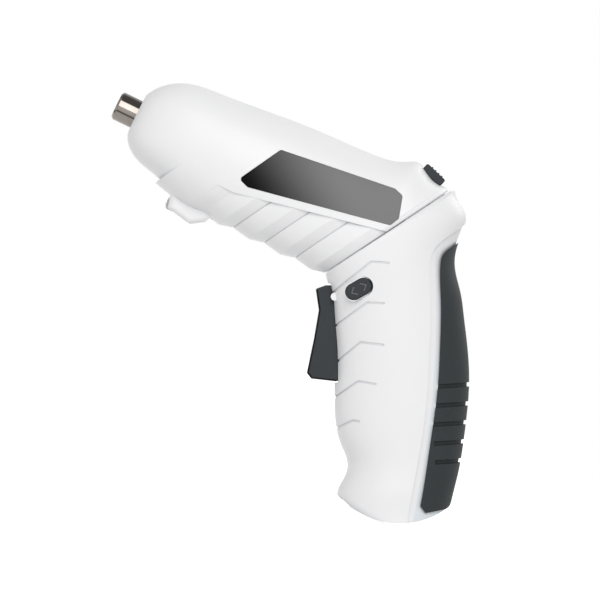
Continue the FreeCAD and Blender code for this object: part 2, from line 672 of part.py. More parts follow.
cell_frame = at_handle(D.cell_back, D.cell_start + D.cell_length)
cell_room = bar(D.cell_radius + D.fit_gap, -REACH, 2 * REACH, cell_frame)
board_side = D.board_half_width + D.fit_gap
board_room = plain_box(HANDLE_FRAME,
                       Vector(-D.board_front - D.fit_gap, -board_side, -REACH),
                       Vector(D.board_thickness - D.board_front + D.fit_gap, board_side, REACH))
cell_cradles = []
for start_share, end_share in CELL_CRADLE_SHARES:
    plate = slab(HANDLE_FRAME, -D.handle_length * end_share, -D.handle_length * start_share)
    cell_cradles.append(plate.cut([cell_room, board_room]))
handle_screw_points = handle_points(HANDLE_SCREW_SHARES)
handle_bosses = [cross_bar(D.boss_radius, point, -REACH, REACH) for point in handle_screw_points]
pivot_point = in_handle(-D.trigger_pivot_front, D.trigger_pivot_drop)
pivot_boss = cross_bar(D.trigger_boss_radius + D.wall / 2, pivot_point, -REACH, REACH)
SPRING_DROP_SHARE = 0.458
spring_drop = D.handle_length * SPRING_DROP_SHARE
seat_half = D.trigger_spring_radius + D.wall / 2
spring_seat = plain_box(HANDLE_FRAME,
                        Vector(-D.spring_seat_front, -REACH, -spring_drop - seat_half),
                        Vector(2 * D.fit_gap - D.board_front - D.wall / 2, REACH, seat_half - spring_drop))
handle_cavity = handle_cavity.cut(cell_cradles + handle_bosses + [pivot_boss, spring_seat])

TRIGGER_SHARES = [(-0.765, 0.165), (-0.893, 0.1755), (-0.868, 0.250), (-0.950, 0.350),
                  (-1.063, 0.466), (-1.010, 0.486), (-0.700, 0.500), (-0.490, 0.490),
                  (-0.477, 0.330), (-0.570, 0.260), (-0.570, 0.168)]
TRIGGER_BACK_SHARE = 0.486
trigger_wire = rounded_wire(handle_points(TRIGGER_SHARES), D.small_round)
TRIGGER_SLOT_SHARES = (0.1585, 0.506)
trigger_slot_low, trigger_slot_high = [D.handle_length * share for share in TRIGGER_SLOT_SHARES]
slot_side = D.trigger_half_width + D.part_gap
trigger_room = plain_box(HANDLE_FRAME,
                         Vector(-REACH, -slot_side, -trigger_slot_high),
                         Vector(-D.board_front - 2 * D.wall, slot_side, -trigger_slot_low))
pin_room = cross_bar(D.trigger_pin_radius + D.fit_gap, pivot_point,
                     -D.trigger_pin_half_length - D.fit_gap, D.trigger_pin_half_length + D.fit_gap)
BAR_FRAME = at_handle(-D.bar_front, D.bar_drop, 0, Rotation(Vector(0, 1, 0), -D.bar_slope))


def stadium(length, height, low, high):
    """Prism with round ends, drawn in the direction bar's frame."""
    run = (length - height) / 2
    radius = height / 2
    corners = [Vector(-run, 0, radius), Vector(run, 0, radius),
               Vector(run, 0, -radius), Vector(-run, 0, -radius)]
    outline = Part.Wire([Part.makeLine(corners[0], corners[1]),
                         Part.Arc(corners[1], Vector(run + radius, 0, 0), corners[2]).toShape(),
                         Part.makeLine(corners[2], corners[3]),
                         Part.Arc(corners[3], Vector(-run - radius, 0, 0), corners[0]).toShape()])
    return through(outline, low, high)


bar_room = placed(stadium(D.bar_length + 2 * D.part_gap, D.bar_height + 2 * D.part_gap, -REACH, REACH),
                  BAR_FRAME)
port_frame = at_handle(-D.board_front - D.port_depth / 2, D.board_start + D.board_length)
port_room = plain_box(port_frame,
                      Vector(-D.port_depth / 2 - D.fit_gap, -D.port_half_width - D.fit_gap, -REACH / 2),
                      Vector(D.port_depth / 2 + D.fit_gap, D.port_half_width + D.fit_gap, D.wall))
foot_hole = bar(D.hub_radius + D.fit_gap, -D.overrun, D.rear_wall + 2 * D.overrun, SEAM_FRAME)
handle_left = half(handle_solid, -1)
handle_left = handle_left.cut([handle_cavity, grip_region.cut(grip_back), trigger_room, pin_room, bar_room,
                               port_room, foot_hole] + recesses + shank_rooms(handle_screw_points))
piece("handle_shell_left", handle_left)
piece("handle_shell_right", mirrored(handle_left).cut(head_rooms(handle_screw_points)))


def flat_sketch(body, name, role, corners):
    """Closed sketch of straight runs on an origin plane, each corner tied to two formulas."""
    sketch = body.newObject("Sketcher::SketchObject", name)
    plane = next(item for item in body.Origin.OriginFeatures if item.Role == role)
    sketch.AttachmentSupport = [(plane, "")]
    sketch.MapMode = "FlatFace"
    count = len(corners)
    guesses = [Vector(math.cos(2 * math.pi * step / count), math.sin(2 * math.pi * step / count), 0)
               for step in range(count)]
    for step in range(count):
        sketch.addGeometry(Part.LineSegment(guesses[step], guesses[(step + 1) % count]), False)
    for step in range(count):
        sketch.addConstraint(Sketcher.Constraint("Coincident", step, 2, (step + 1) % count, 1))
    for step, corner in enumerate(corners):
        for kind, letter, text in zip(("DistanceX", "DistanceY"), "ab", corner):
            number = sketch.addConstraint(Sketcher.Constraint(kind, -1, 1, step, 1, 1.0))
            sketch.renameConstraint(number, f"{letter}{step}")
            sketch.setExpression(f"Constraints.{letter}{step}", formula(text))
    return sketch


def round_sketch(body, name, role, radius):
    """Sketch of one circle about the origin."""
    sketch = body.newObject("Sketcher::SketchObject", name)
    plane = next(item for item in body.Origin.OriginFeatures if item.Role == role)
    sketch.AttachmentSupport = [(plane, "")]
    sketch.MapMode = "FlatFace"
    sketch.addGeometry(Part.Circle(Vector(0, 0, 0), Vector(0, 0, 1), 1.0), False)
    sketch.addConstraint(Sketcher.Constraint("Coincident", 0, 3, -1, 1))
    number = sketch.addConstraint(Sketcher.Constraint("Radius", 0, 1.0))
    sketch.renameConstraint(number, "radius")
    sketch.setExpression("Constraints.radius", formula(radius))
    return sketch


def rectangle(low, high):
    """Corners of a rectangle between two pairs of formulas."""
    return [(low[0], low[1]), (high[0], low[1]), (high[0], high[1]), (low[0], high[1])]


def turned(label, corners, frame=None, sweep=FULL_TURN):
    """Piece turned about the long axis from corners (along, radius)."""
    body = doc.addObject("PartDesign::Body", label)
    sketch = flat_sketch(body, label + "_profile", "XZ_Plane", corners)
    spin = body.newObject("PartDesign::Revolution", label + "_turn")
    spin.Profile = sketch
    spin.ReferenceAxis = (sketch, ["H_Axis"])
    spin.Angle = sweep
    return node(body, label, frame)


def padded(body, sketch, length, reverse=False):
    """Pad of a sketch in a body."""
    pad = body.newObject("PartDesign::Pad", sketch.Name + "_pad")
    pad.Profile = sketch
    pad.Reversed = reverse
    pad.setExpression("Length", formula(length))
    return pad


def pocketed(body, sketch, length, reverse=False):
    """Pocket of a sketch in a body."""
    pocket = body.newObject("PartDesign::Pocket", sketch.Name + "_pocket")
    pocket.Profile = sketch
    pocket.Reversed = reverse
    pocket.setExpression("Length", formula(length))
    return pocket


def block(label, size, frame):
    """Box piece with its three sizes tied to formulas."""
    thing = doc.addObject("Part::Box", label)
    bind(thing, dict(zip(("Length", "Width", "Height"), size)))
    thing.Placement = frame
    return thing


# Spindle: bit holder, magnet, clip and bush.
CLIP_START = "gearbox_face + gearbox_face_wall + end_play"
CLIP_END = CLIP_START + " + clip_thickness + fit_gap"
CARRIER_END = "output_carrier_start + output_carrier_thickness"
holder = turned("bit_holder", [
    ("0", "0"),
    ("0", "holder_radius - holder_edge"),
    ("holder_edge", "holder_radius"),
    ("holder_length", "holder_radius"),
    ("holder_length", "spindle_radius"),
    (CLIP_START, "spindle_radius"),
    (CLIP_START, "spindle_radius - clip_groove"),
    (CLIP_END, "spindle_radius - clip_groove"),
    (CLIP_END, "spindle_radius"),
    ("output_carrier_start", "spindle_radius"),
    ("output_carrier_start", "spindle_radius * 3 / 4"),
    (CARRIER_END, "spindle_radius * 3 / 4"),
    (CARRIER_END, "0"),
])
hexagon = flat_sketch(holder, "hex_socket", "YZ_Plane", [
    ("0", "hex_flats / sqrt(3)"),
    ("hex_flats / 2", "hex_flats / sqrt(3) / 2"),
    ("hex_flats / 2", "-hex_flats / sqrt(3) / 2"),
    ("0", "-hex_flats / sqrt(3)"),
    ("-hex_flats / 2", "-hex_flats / sqrt(3) / 2"),
    ("-hex_flats / 2", "hex_flats / sqrt(3) / 2"),
])
pocketed(holder, hexagon, "hex_depth", True)
pocketed(holder, round_sketch(holder, "magnet_seat", "YZ_Plane", "magnet_radius + fit_gap"),
         "hex_depth + magnet_length", True)
turned("bit_magnet", [("hex_depth", "0"), ("hex_depth", "magnet_radius"),
                      ("hex_depth + magnet_length", "magnet_radius"), ("hex_depth + magnet_length", "0")])
CLIP_SWEEP = 300.0
turned("spindle_clip", rectangle((CLIP_START, "spindle_radius - clip_groove + fit_gap"),
                                 (CLIP_START + " + clip_thickness", "clip_radius")), None, CLIP_SWEEP)
turned("spindle_bush", rectangle(("gearbox_start", "spindle_radius + fit_gap"),
                                 ("gearbox_face + gearbox_face_wall", "bush_radius")))

# Gearbox.
RING_OUTSIDE = f"gear_module * {RING_TEETH} / 2 + gear_module + ring_wall"
turned("gearbox_housing", [
    ("gearbox_start", "bush_radius + fit_gap"),
    ("gearbox_start", "gearbox_nose_radius"),
    ("gearbox_face", "gearbox_nose_radius"),
    ("gearbox_face", "gearbox_radius"),
    ("gearbox_end", "gearbox_radius"),
    ("gearbox_end", RING_OUTSIDE + " + fit_gap"),
    ("gearbox_face + gearbox_face_wall", RING_OUTSIDE + " + fit_gap"),
    ("gearbox_face + gearbox_face_wall", "bush_radius + fit_gap"),
])
turned("gearbox_plate", rectangle(("gearbox_end", "plate_hole"),
                                  ("gearbox_end + plate_thickness", "gearbox_radius")))

PRESSURE_ANGLE = math.radians(20)
ADDENDUM_SHARE = 0.8
DEDENDUM_SHARE = 1.1
UNDERCUT_SHARE = 0.8
FLANK_STEPS = 3


def involute(angle):
    """Roll angle of an involute flank."""
    return math.tan(angle) - angle


def tooth_outline(teeth, outward, inward, play, first_angle):
    """Points (across, up) round a gear; play thickens the tooth when positive."""
    pitch_radius = D.gear_module * teeth / 2
    base_radius = pitch_radius * math.cos(PRESSURE_ANGLE)
    tip = pitch_radius + D.gear_module * outward
    root = pitch_radius - D.gear_module * inward
    pitch_half = math.pi / (2 * teeth) + play / (4 * pitch_radius)
    flank_start = max(base_radius, root)
    flank = []
    for step in range(FLANK_STEPS + 1):
        radius = flank_start + (tip - flank_start) * step / FLANK_STEPS
        roll = involute(math.acos(min(1, base_radius / radius)))
        flank.append((radius, pitch_half + involute(PRESSURE_ANGLE) - roll))
    if root < base_radius:
        flank.insert(0, (root, flank[0][1] * UNDERCUT_SHARE))
    points = []
    for tooth in range(teeth):
        middle = first_angle + 2 * math.pi * tooth / teeth
        points += [(radius, middle - half_angle) for radius, half_angle in flank]
        points += [(radius, middle + half_angle) for radius, half_angle in reversed(flank)]
    return [Vector(0, radius * math.cos(angle), radius * math.sin(angle)) for radius, angle in points]


def toothed_bar(teeth, outward, inward, play, first_angle, start, length):
    """Toothed bar along the bit axis."""
    face = Part.Face(polygon(tooth_outline(teeth, outward, inward, play, first_angle)))
    face.translate(Vector(start, 0, 0))
    return face.extrude(Vector(length, 0, 0))


def gear(teeth, first_angle, start, length):
    """Outside gear along the bit axis."""
    return toothed_bar(teeth, ADDENDUM_SHARE, DEDENDUM_SHARE, -D.tooth_gap, first_angle, start, length)


ring_front = D.gearbox_face + D.gearbox_face_wall
ring_outside = D.gear_module * RING_TEETH / 2 + D.gear_module + D.ring_wall
ring_teeth = toothed_bar(RING_TEETH, DEDENDUM_SHARE, ADDENDUM_SHARE, D.tooth_gap, math.pi / RING_TEETH,
                         ring_front - D.overrun, D.gearbox_end - ring_front + 2 * D.overrun)
piece("ring_gear", axis_bar(ring_outside, ring_front, D.gearbox_end).cut(ring_teeth))

second_start = D.output_carrier_start + D.output_carrier_thickness + D.end_play
first_carrier_start = second_start + D.second_planet_width + D.end_play
first_start = first_carrier_start + D.carrier_thickness + D.end_play
orbit = D.gear_module * (SUN_TEETH + PLANET_TEETH) / 2
planet_angles = [2 * math.pi * place / PLANET_COUNT for place in range(PLANET_COUNT)]
orbit_points = [Vector(0, orbit * math.cos(angle), orbit * math.sin(angle)) for angle in planet_angles]


def shifted(shape, shift):
    """Copy of a shape moved by a shift."""
    moved = shape.copy()
    moved.translate(shift)
    return moved


def carrier_pins(start, length):
    """Three pins of a planet carrier."""
    return [shifted(axis_bar(D.planet_pin, start, start + length), shift) for shift in orbit_points]


output_pin_start = D.output_carrier_start + D.output_carrier_thickness
output_disc = axis_bar(D.carrier_radius, D.output_carrier_start, output_pin_start)
output_disc = output_disc.cut(axis_bar(D.spindle_radius * 3 / 4 + D.fit_gap, 0, D.gearbox_end))
piece("output_carrier", output_disc.fuse(carrier_pins(output_pin_start, second_start + D.second_planet_width
                                                      - output_pin_start)))
first_disc = axis_bar(D.carrier_radius, first_carrier_start, first_carrier_start + D.carrier_thickness)
first_pin_start = first_carrier_start + D.carrier_thickness
second_sun = gear(SUN_TEETH, 0, second_start, first_carrier_start - second_start)
piece("first_carrier", first_disc.fuse([second_sun] + carrier_pins(first_pin_start,
                                                                  first_start + D.first_planet_width
                                                                  - first_pin_start)))
for stage, start, width in (("first", first_start, D.first_planet_width),
                            ("second", second_start, D.second_planet_width)):
    for place, (angle, shift) in enumerate(zip(planet_angles, orbit_points), 1):
        teeth = gear(PLANET_TEETH, angle + math.pi / PLANET_TEETH, start, width)
        bore = axis_bar(D.planet_pin + D.fit_gap, start - D.overrun, start + width + D.overrun)
        piece(f"{stage}_planet_{place}", shifted(teeth.cut(bore), shift))

# Motor.
MOTOR_START = "gearbox_end + plate_thickness"
MOTOR_END = MOTOR_START + " + motor_length"
ROTOR_RADIUS = "motor_radius - motor_can_wall - magnet_wall - air_gap"
turned("motor_can", [
    (MOTOR_START + " - motor_boss_length", "motor_shaft + fit_gap"),
    (MOTOR_START + " - motor_boss_length", "motor_boss_radius"),
    (MOTOR_START, "motor_boss_radius"),
    (MOTOR_START, "motor_radius"),
    (MOTOR_END, "motor_radius"),
    (MOTOR_END, "motor_radius - motor_can_wall"),
    (MOTOR_START + " + motor_can_wall", "motor_radius - motor_can_wall"),
    (MOTOR_START + " + motor_can_wall", "motor_shaft + fit_gap"),
])
turned("motor_end_cap", rectangle((MOTOR_END, "motor_shaft + fit_gap"), (MOTOR_END + " + cap_thickness",
                                                                         "motor_radius")))
ROTOR_LEAD_SHARE = 0.16
motor_start = D.gearbox_end + D.plate_thickness
motor_end = motor_start + D.motor_length
stack_start = motor_start + D.motor_length * ROTOR_LEAD_SHARE
STACK_START = f"{MOTOR_START} + motor_length * {ROTOR_LEAD_SHARE}"
FIRST_START = ("output_carrier_start + output_carrier_thickness + second_planet_width + carrier_thickness"
               " + 3 * end_play")
turned("motor_rotor", [
    (FIRST_START, "0"),
    (FIRST_START, "motor_shaft"),
    (STACK_START, "motor_shaft"),
    (STACK_START, ROTOR_RADIUS),
    (STACK_START + " + rotor_length", ROTOR_RADIUS),
    (STACK_START + " + rotor_length", "motor_shaft"),
    (MOTOR_END + " + cap_thickness", "motor_shaft"),
    (MOTOR_END + " + cap_thickness", "0"),
])
turned("commutator", rectangle((STACK_START + " + rotor_length", "motor_shaft + fit_gap"),
                               (STACK_START + " + rotor_length + commutator_length", "commutator_radius")))
pinion_bore = axis_bar(D.motor_shaft + D.fit_gap, 0, D.barrel_length)
piece("motor_pinion", gear(SUN_TEETH, 0, first_start, D.first_planet_width + D.end_play).cut(pinion_bore))
magnet_outside = D.motor_radius - D.motor_can_wall - D.fit_gap
field = axis_bar(magnet_outside, stack_start, stack_start + D.rotor_length)
field = field.cut(axis_bar(D.motor_radius - D.motor_can_wall - D.magnet_wall, 0, D.barrel_length))
field = field.cut(Part.makeBox(REACH, 2 * REACH, D.motor_radius, Vector(0, -REACH, -D.motor_radius / 2)))
piece("motor_magnets", Part.makeCompound(field.Solids))
TERMINAL_ACROSS_SHARE = 0.55
terminals = []
for side in (-1, 1):
    middle = side * D.motor_radius * TERMINAL_ACROSS_SHARE
    terminals.append(Part.makeBox(D.terminal_length, D.latch_thickness, D.latch_width,
                                  Vector(motor_end + D.cap_thickness, middle, 0)))
piece("motor_terminals", Part.makeCompound(terminals))


def lead(points, bend):
    """Round lead along two straight runs with one tangent bend."""
    first, corner, last = points
    before = (first - corner).normalize()
    after = (last - corner).normalize()
    half_angle = before.getAngle(after) / 2
    reach = bend / math.tan(half_angle)
    middle = corner + (before + after).normalize() * (bend / math.sin(half_angle) - bend)
    start = corner + before * reach
    end = corner + after * reach
    route = Part.Wire([Part.makeLine(first, start), Part.Arc(start, middle, end).toShape(),
                       Part.makeLine(end, last)])
    circle = Part.Wire([Part.makeCircle(D.lead_radius, first, before)])
    return route.makePipeShell([circle], True, False)


seam_half = D.fit_gap / 2
lead_corner = Vector(D.barrel_length - D.lead_rise / SEAM_SHEAR, 0, D.lead_rise)
lead_start = Vector(motor_end + D.cap_thickness, 0, D.lead_rise)
piece("motor_leads", lead([lead_start, lead_corner, at_seam(0, -seam_half).Base], D.lead_bend))
LEAD_TURN_SHARE = 0.7
LEAD_END_SHARE = 0.65
lead_turn = at_seam(0, D.hub_radius * LEAD_TURN_SHARE).Base
lead_end = in_handle(D.board_thickness / 2 - D.board_front, D.board_start - D.lead_radius * LEAD_END_SHARE)
piece("handle_leads", lead([at_seam(0, seam_half).Base, lead_turn, lead_end], D.lead_bend * LEAD_TURN_SHARE))

# Lamp.
LENS_FACE_SHARE = 0.55
LENS_CURVE_SHARES = (0.12, 0.84)
LENS_RIM_SHARE = 0.3
LED_FACE_SHARE = 0.6
LED_RIM_SHARES = (0.3, 0.7)
lamp_frame = Placement(Vector(D.lamp_start, 0, -D.lamp_drop), UPRIGHT)
turned("lamp_lens", [
    ("0", "0"),
    ("0", f"lamp_radius * {LENS_FACE_SHARE}"),
    (f"lamp_length * {LENS_CURVE_SHARES[0]}", f"lamp_radius * {LENS_CURVE_SHARES[1]}"),
    (f"lamp_length * {LENS_RIM_SHARE}", "lamp_radius"),
    ("lamp_length", "lamp_radius"),
    ("lamp_length", "0"),
], lamp_frame)
turned("lamp_led", [
    ("lamp_length + fit_gap", "0"),
    ("lamp_length + fit_gap", f"led_radius * {LED_FACE_SHARE}"),
    (f"lamp_length + led_length * {LED_RIM_SHARES[0]}", "led_radius"),
    (f"lamp_length + led_length * {LED_RIM_SHARES[1]}", "led_radius"),
    (f"lamp_length + led_length * {LED_RIM_SHARES[1]}", "lamp_radius"),
    ("lamp_length + led_length", "lamp_radius"),
    ("lamp_length + led_length", "0"),
], lamp_frame)

# Swivel, latch and lock button.
SEAM_TURNED = at_seam(0, 0, 0, Rotation(Vector(0, 1, 0), -QUARTER_TURN))
INNER_FLANGE = "seam_gap / 2 + rear_wall + end_play"
OUTER_FLANGE = "seam_gap / 2 + rear_wall"
swivel = turned("swivel_ring", [
    (f"-({INNER_FLANGE} + flange_thickness)", "hub_bore"),
    (f"-({INNER_FLANGE} + flange_thickness)", "flange_radius"),
    (f"-({INNER_FLANGE})", "flange_radius"),
    (f"-({INNER_FLANGE})", "hub_radius"),
    (OUTER_FLANGE, "hub_radius"),
    (OUTER_FLANGE, "flange_radius"),
    (OUTER_FLANGE + " + flange_thickness", "flange_radius"),
    (OUTER_FLANGE + " + flange_thickness", "hub_bore"),
], SEAM_TURNED)
TOOTH_LOW_SHARE = 0.45
TOOTH_LOW = f"latch_rise * {TOOTH_LOW_SHARE}"
TOOTH_NEAR = "latch_half_length - tooth_width"
for across in ("", "-"):
    for up in ("", "-"):
        near_corner = (f"{across}({TOOTH_NEAR} - part_gap / 2)", f"{up}({TOOTH_LOW} - part_gap)")
        far_corner = (f"{across}(flange_radius + overrun)", f"{up}(latch_rise + overrun)")
        notch = flat_sketch(swivel, f"notch{len(across)}{len(up)}", "YZ_Plane",
                            rectangle(near_corner, far_corner))
        pocketed(swivel, notch, INNER_FLANGE + " + flange_thickness + overrun")
leaf = doc.addObject("PartDesign::Body", "latch_leaf")
leaf_sketch = flat_sketch(leaf, "leaf_outline", "YZ_Plane", [
    ("-latch_half_length", TOOTH_LOW),
    ("-latch_half_length", "latch_rise + latch_thickness"),
    ("latch_half_length", "latch_rise + latch_thickness"),
    ("latch_half_length", TOOTH_LOW),
    (TOOTH_NEAR, TOOTH_LOW),
    (TOOTH_NEAR, "latch_rise"),
    (f"-({TOOTH_NEAR})", "latch_rise"),
    (f"-({TOOTH_NEAR})", TOOTH_LOW),
])
padded(leaf, leaf_sketch, "latch_width")
node(leaf, "latch_leaf", at_seam(0, latch_front, 0, Rotation(Vector(0, 1, 0), -QUARTER_TURN)))
button = doc.addObject("PartDesign::Body", "lock_button")
cap = flat_sketch(button, "button_cap", "XY_Plane", rectangle(("-button_length / 2", "-button_half_width"),
                                                             ("button_length / 2", "button_half_width")))
cap_pad = padded(button, cap, "button_height", True)
doc.recompute()
cap_edges = [f"Edge{number}" for number, edge in enumerate(cap_pad.Shape.Edges, 1)
             if edge.BoundBox.ZMin > -D.fit_gap]
cap_round = button.newObject("PartDesign::Fillet", "button_round")
cap_round.Base = (cap_pad, cap_edges)
bind(cap_round, {"Radius": "small_round"})
stem = round_sketch(button, "button_stem_round", "XY_Plane", "button_stem")
padded(button, stem, "button_height + button_stem_length", True)
node(button, "lock_button", BUTTON_FRAME)


def coil(radius, length, turns, frame):
    """Spring wire wound round the upright of a frame."""
    route = Part.makeHelix(length / turns, length, radius)
    circle = Part.Wire([Part.makeCircle(D.spring_wire / 2, Vector(radius, 0, 0), Vector(0, 1, 0))])
    return placed(Part.Wire(route).makePipeShell([circle], True, True), frame)


SPRING_TURNS = 4.5
lock_spring_seat = Placement(Vector(0, 0, shelf_top + D.spring_wire / 2 + D.fit_gap), UPRIGHT)
piece("lock_spring", coil(D.lock_spring_radius, D.lock_spring_length - D.spring_wire, SPRING_TURNS,
                          BUTTON_FRAME.multiply(lock_spring_seat)))

screw_half = [Vector(0, 0, 0), Vector(D.screw_radius, 0, 0), Vector(D.screw_radius, 0, D.screw_length),
              Vector(D.screw_head_radius, 0, D.screw_length),
              Vector(D.screw_head_radius, 0, D.screw_length + D.screw_head_height),
              Vector(0, 0, D.screw_length + D.screw_head_height)]
screw = Part.Face(polygon(screw_half)).revolve(Vector(0, 0, 0), Vector(0, 0, 1), FULL_TURN)


def screw_group(points):
    """Alike screws across the part, heads to the right."""
    low = D.screw_seat - D.screw_length
    frames = [Placement(Vector(point.x, low, point.z), ACROSS) for point in points]
    return Part.makeCompound([placed(screw, frame) for frame in frames])


piece("barrel_screws", screw_group(barrel_screw_points))
piece("handle_screws", screw_group(handle_screw_points))

# Trigger and direction bar.
trigger_solid = through(trigger_wire, -D.trigger_half_width, D.trigger_half_width)
trigger_front = -D.handle_front
front_edges = []
for edge in trigger_solid.Edges:
    flat = edge.BoundBox.YLength < D.fit_gap
    middle = HANDLE_FRAME.inverse().multVec(edge.CenterOfMass)
    if flat and middle.x < trigger_front:
        front_edges.append(edge)
trigger_solid = trigger_solid.makeFillet(D.small_round, front_edges)
piece("trigger", trigger_solid.cut(cross_bar(D.trigger_pin_radius + D.fit_gap, pivot_point, -REACH, REACH)))
trigger_pin = doc.addObject("Part::Cylinder", "trigger_pin")
bind(trigger_pin, {"Radius": "trigger_pin_radius", "Height": "2 * trigger_pin_half_length"})
node(trigger_pin, "trigger_pin", Placement(pivot_point - Vector(0, D.trigger_pin_half_length, 0), ACROSS))
trigger_back = D.handle_back * TRIGGER_BACK_SHARE
spring_length = trigger_back - D.spring_seat_front - D.spring_wire - 2 * D.fit_gap
piece("trigger_spring", coil(D.trigger_spring_radius, spring_length, SPRING_TURNS,
                             at_handle(-D.spring_seat_front - D.spring_wire / 2 - D.fit_gap, spring_drop, 0,
                                       Rotation(Vector(0, 1, 0), -QUARTER_TURN))))
bar_solid = stadium(D.bar_length, D.bar_height, -D.bar_half_reach, D.bar_half_reach)
bar_edges = [edge for edge in bar_solid.Edges if edge.BoundBox.YLength < D.fit_gap]
piece("direction_bar", bar_solid.makeFillet(D.small_round, bar_edges), BAR_FRAME)

# Battery, board and switches.
DOWN_HANDLE = Rotation(Vector(0, 1, 0), QUARTER_TURN)
CELL_CAP_SHARE = 0.35
turned("battery_cell", [
    ("0", "0"),
    ("0", f"cell_radius * {CELL_CAP_SHARE}"),
    ("small_round", f"cell_radius * {CELL_CAP_SHARE}"),
    ("small_round", "cell_radius - small_round"),
    ("2 * small_round", "cell_radius"),
    ("cell_length - small_round", "cell_radius"),
    ("cell_length", "cell_radius - small_round"),
    ("cell_length", "0"),
], at_handle(D.cell_back, D.cell_start, 0, DOWN_HANDLE))
tab_half = D.cell_radius / 2
tabs = []
for downward in (D.cell_start, D.cell_start + D.cell_length + D.tab_thickness):
    tabs.append(plain_box(at_handle(D.cell_back, downward), Vector(-tab_half, -tab_half, 0),
                          Vector(tab_half, tab_half, D.tab_thickness)))
piece("battery_tabs", Part.makeCompound(tabs))
node(block("control_board", ("board_thickness", "2 * board_half_width", "board_length"),
           at_handle(-D.board_front, D.board_start + D.board_length, -D.board_half_width)), "control_board")
CHIP_SHARES = [(0.56, -0.55, 0.07, 0.30), (0.56, 0.25, 0.07, 0.30), (0.68, -0.30, 0.09, 0.60),
               (0.845, -0.50, 0.045, 0.35), (0.845, 0.20, 0.045, 0.35)]
chips = []
for along, across, length, width in CHIP_SHARES:
    low = Vector(-D.board_front - D.chip_height, D.board_half_width * across,
                 -D.board_start - D.board_length * (along + length))
    high = Vector(-D.board_front, D.board_half_width * (across + width),
                  -D.board_start - D.board_length * along)
    chips.append(plain_box(HANDLE_FRAME, low, high))
piece("board_parts", Part.makeCompound(chips))
switch_frame = at_handle(-D.board_front, D.switch_start + D.switch_length, -D.switch_half_width,
                         Rotation(Vector(0, 1, 0), -QUARTER_TURN))
switch_case = block("switch_case", ("switch_length", "2 * switch_half_width", "switch_depth"), switch_frame)
plunger = doc.addObject("Part::Cylinder", "switch_plunger")
bind(plunger, {"Radius": "small_round", "Height": "switch_depth + small_round"})
plunger.Placement = at_handle(-D.board_front, D.switch_start + D.switch_length / 2, 0,
                              Rotation(Vector(0, 1, 0), -QUARTER_TURN))
switch = doc.addObject("Part::Fuse", "trigger_switch")
switch.Base = switch_case
switch.Tool = plunger
node(switch, "trigger_switch")
node(block("direction_switch", ("bar_height", "2 * switch_half_width", "chip_height"),
           at_handle(-D.board_front, D.bar_drop + D.bar_height / 2, -D.switch_half_width,
                     Rotation(Vector(0, 1, 0), -QUARTER_TURN))), "direction_switch")
socket = doc.addObject("PartDesign::Body", "charge_socket")
socket_case = flat_sketch(socket, "socket_case", "XY_Plane", rectangle(("-port_depth / 2", "-port_half_width"),
                                                                      ("port_depth / 2", "port_half_width")))
padded(socket, socket_case, "port_length")
socket_mouth = flat_sketch(socket, "socket_mouth", "XY_Plane",
                           rectangle(("port_wall - port_depth / 2", "port_wall - port_half_width"),
                                     ("port_depth / 2 - port_wall", "port_half_width - port_wall")))
pocketed(socket, socket_mouth, "port_length - 2 * port_wall", True)
TONGUE_SHARE = 0.7
socket_tongue = flat_sketch(socket, "socket_tongue", "XY_Plane",
                            rectangle(("-port_wall", f"-port_half_width * {TONGUE_SHARE}"),
                                      ("port_wall", f"port_half_width * {TONGUE_SHARE}")))
padded(socket, socket_tongue, "port_length - port_wall")
node(socket, "charge_socket", at_handle(-D.board_front - D.port_depth / 2,
                                        D.board_start + D.board_length + D.port_length / 2))

doc.recompute()
faults = [thing.Label for thing in doc.Objects if "Invalid" in thing.State or "Error" in thing.State]
faults += [thing.Label for thing in NODES if thing.Shape.isNull() or not thing.Shape.isValid()]
if faults:
    raise SystemExit("faulty pieces: " + ", ".join(faults))
os.makedirs("parts", exist_ok=True)
for thing in NODES:
    thing.Shape.exportStep(f"parts/{thing.Label}.step")
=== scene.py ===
"""Looks of a cordless screwdriver whose handle swivels on an oblique seam."""

import logging
import math
from dataclasses import dataclass, field
from enum import Enum
from typing import Any, Dict, List, Mapping, Optional, Sequence, Tuple, Union

import bpy
from mathutils import Matrix, Vector


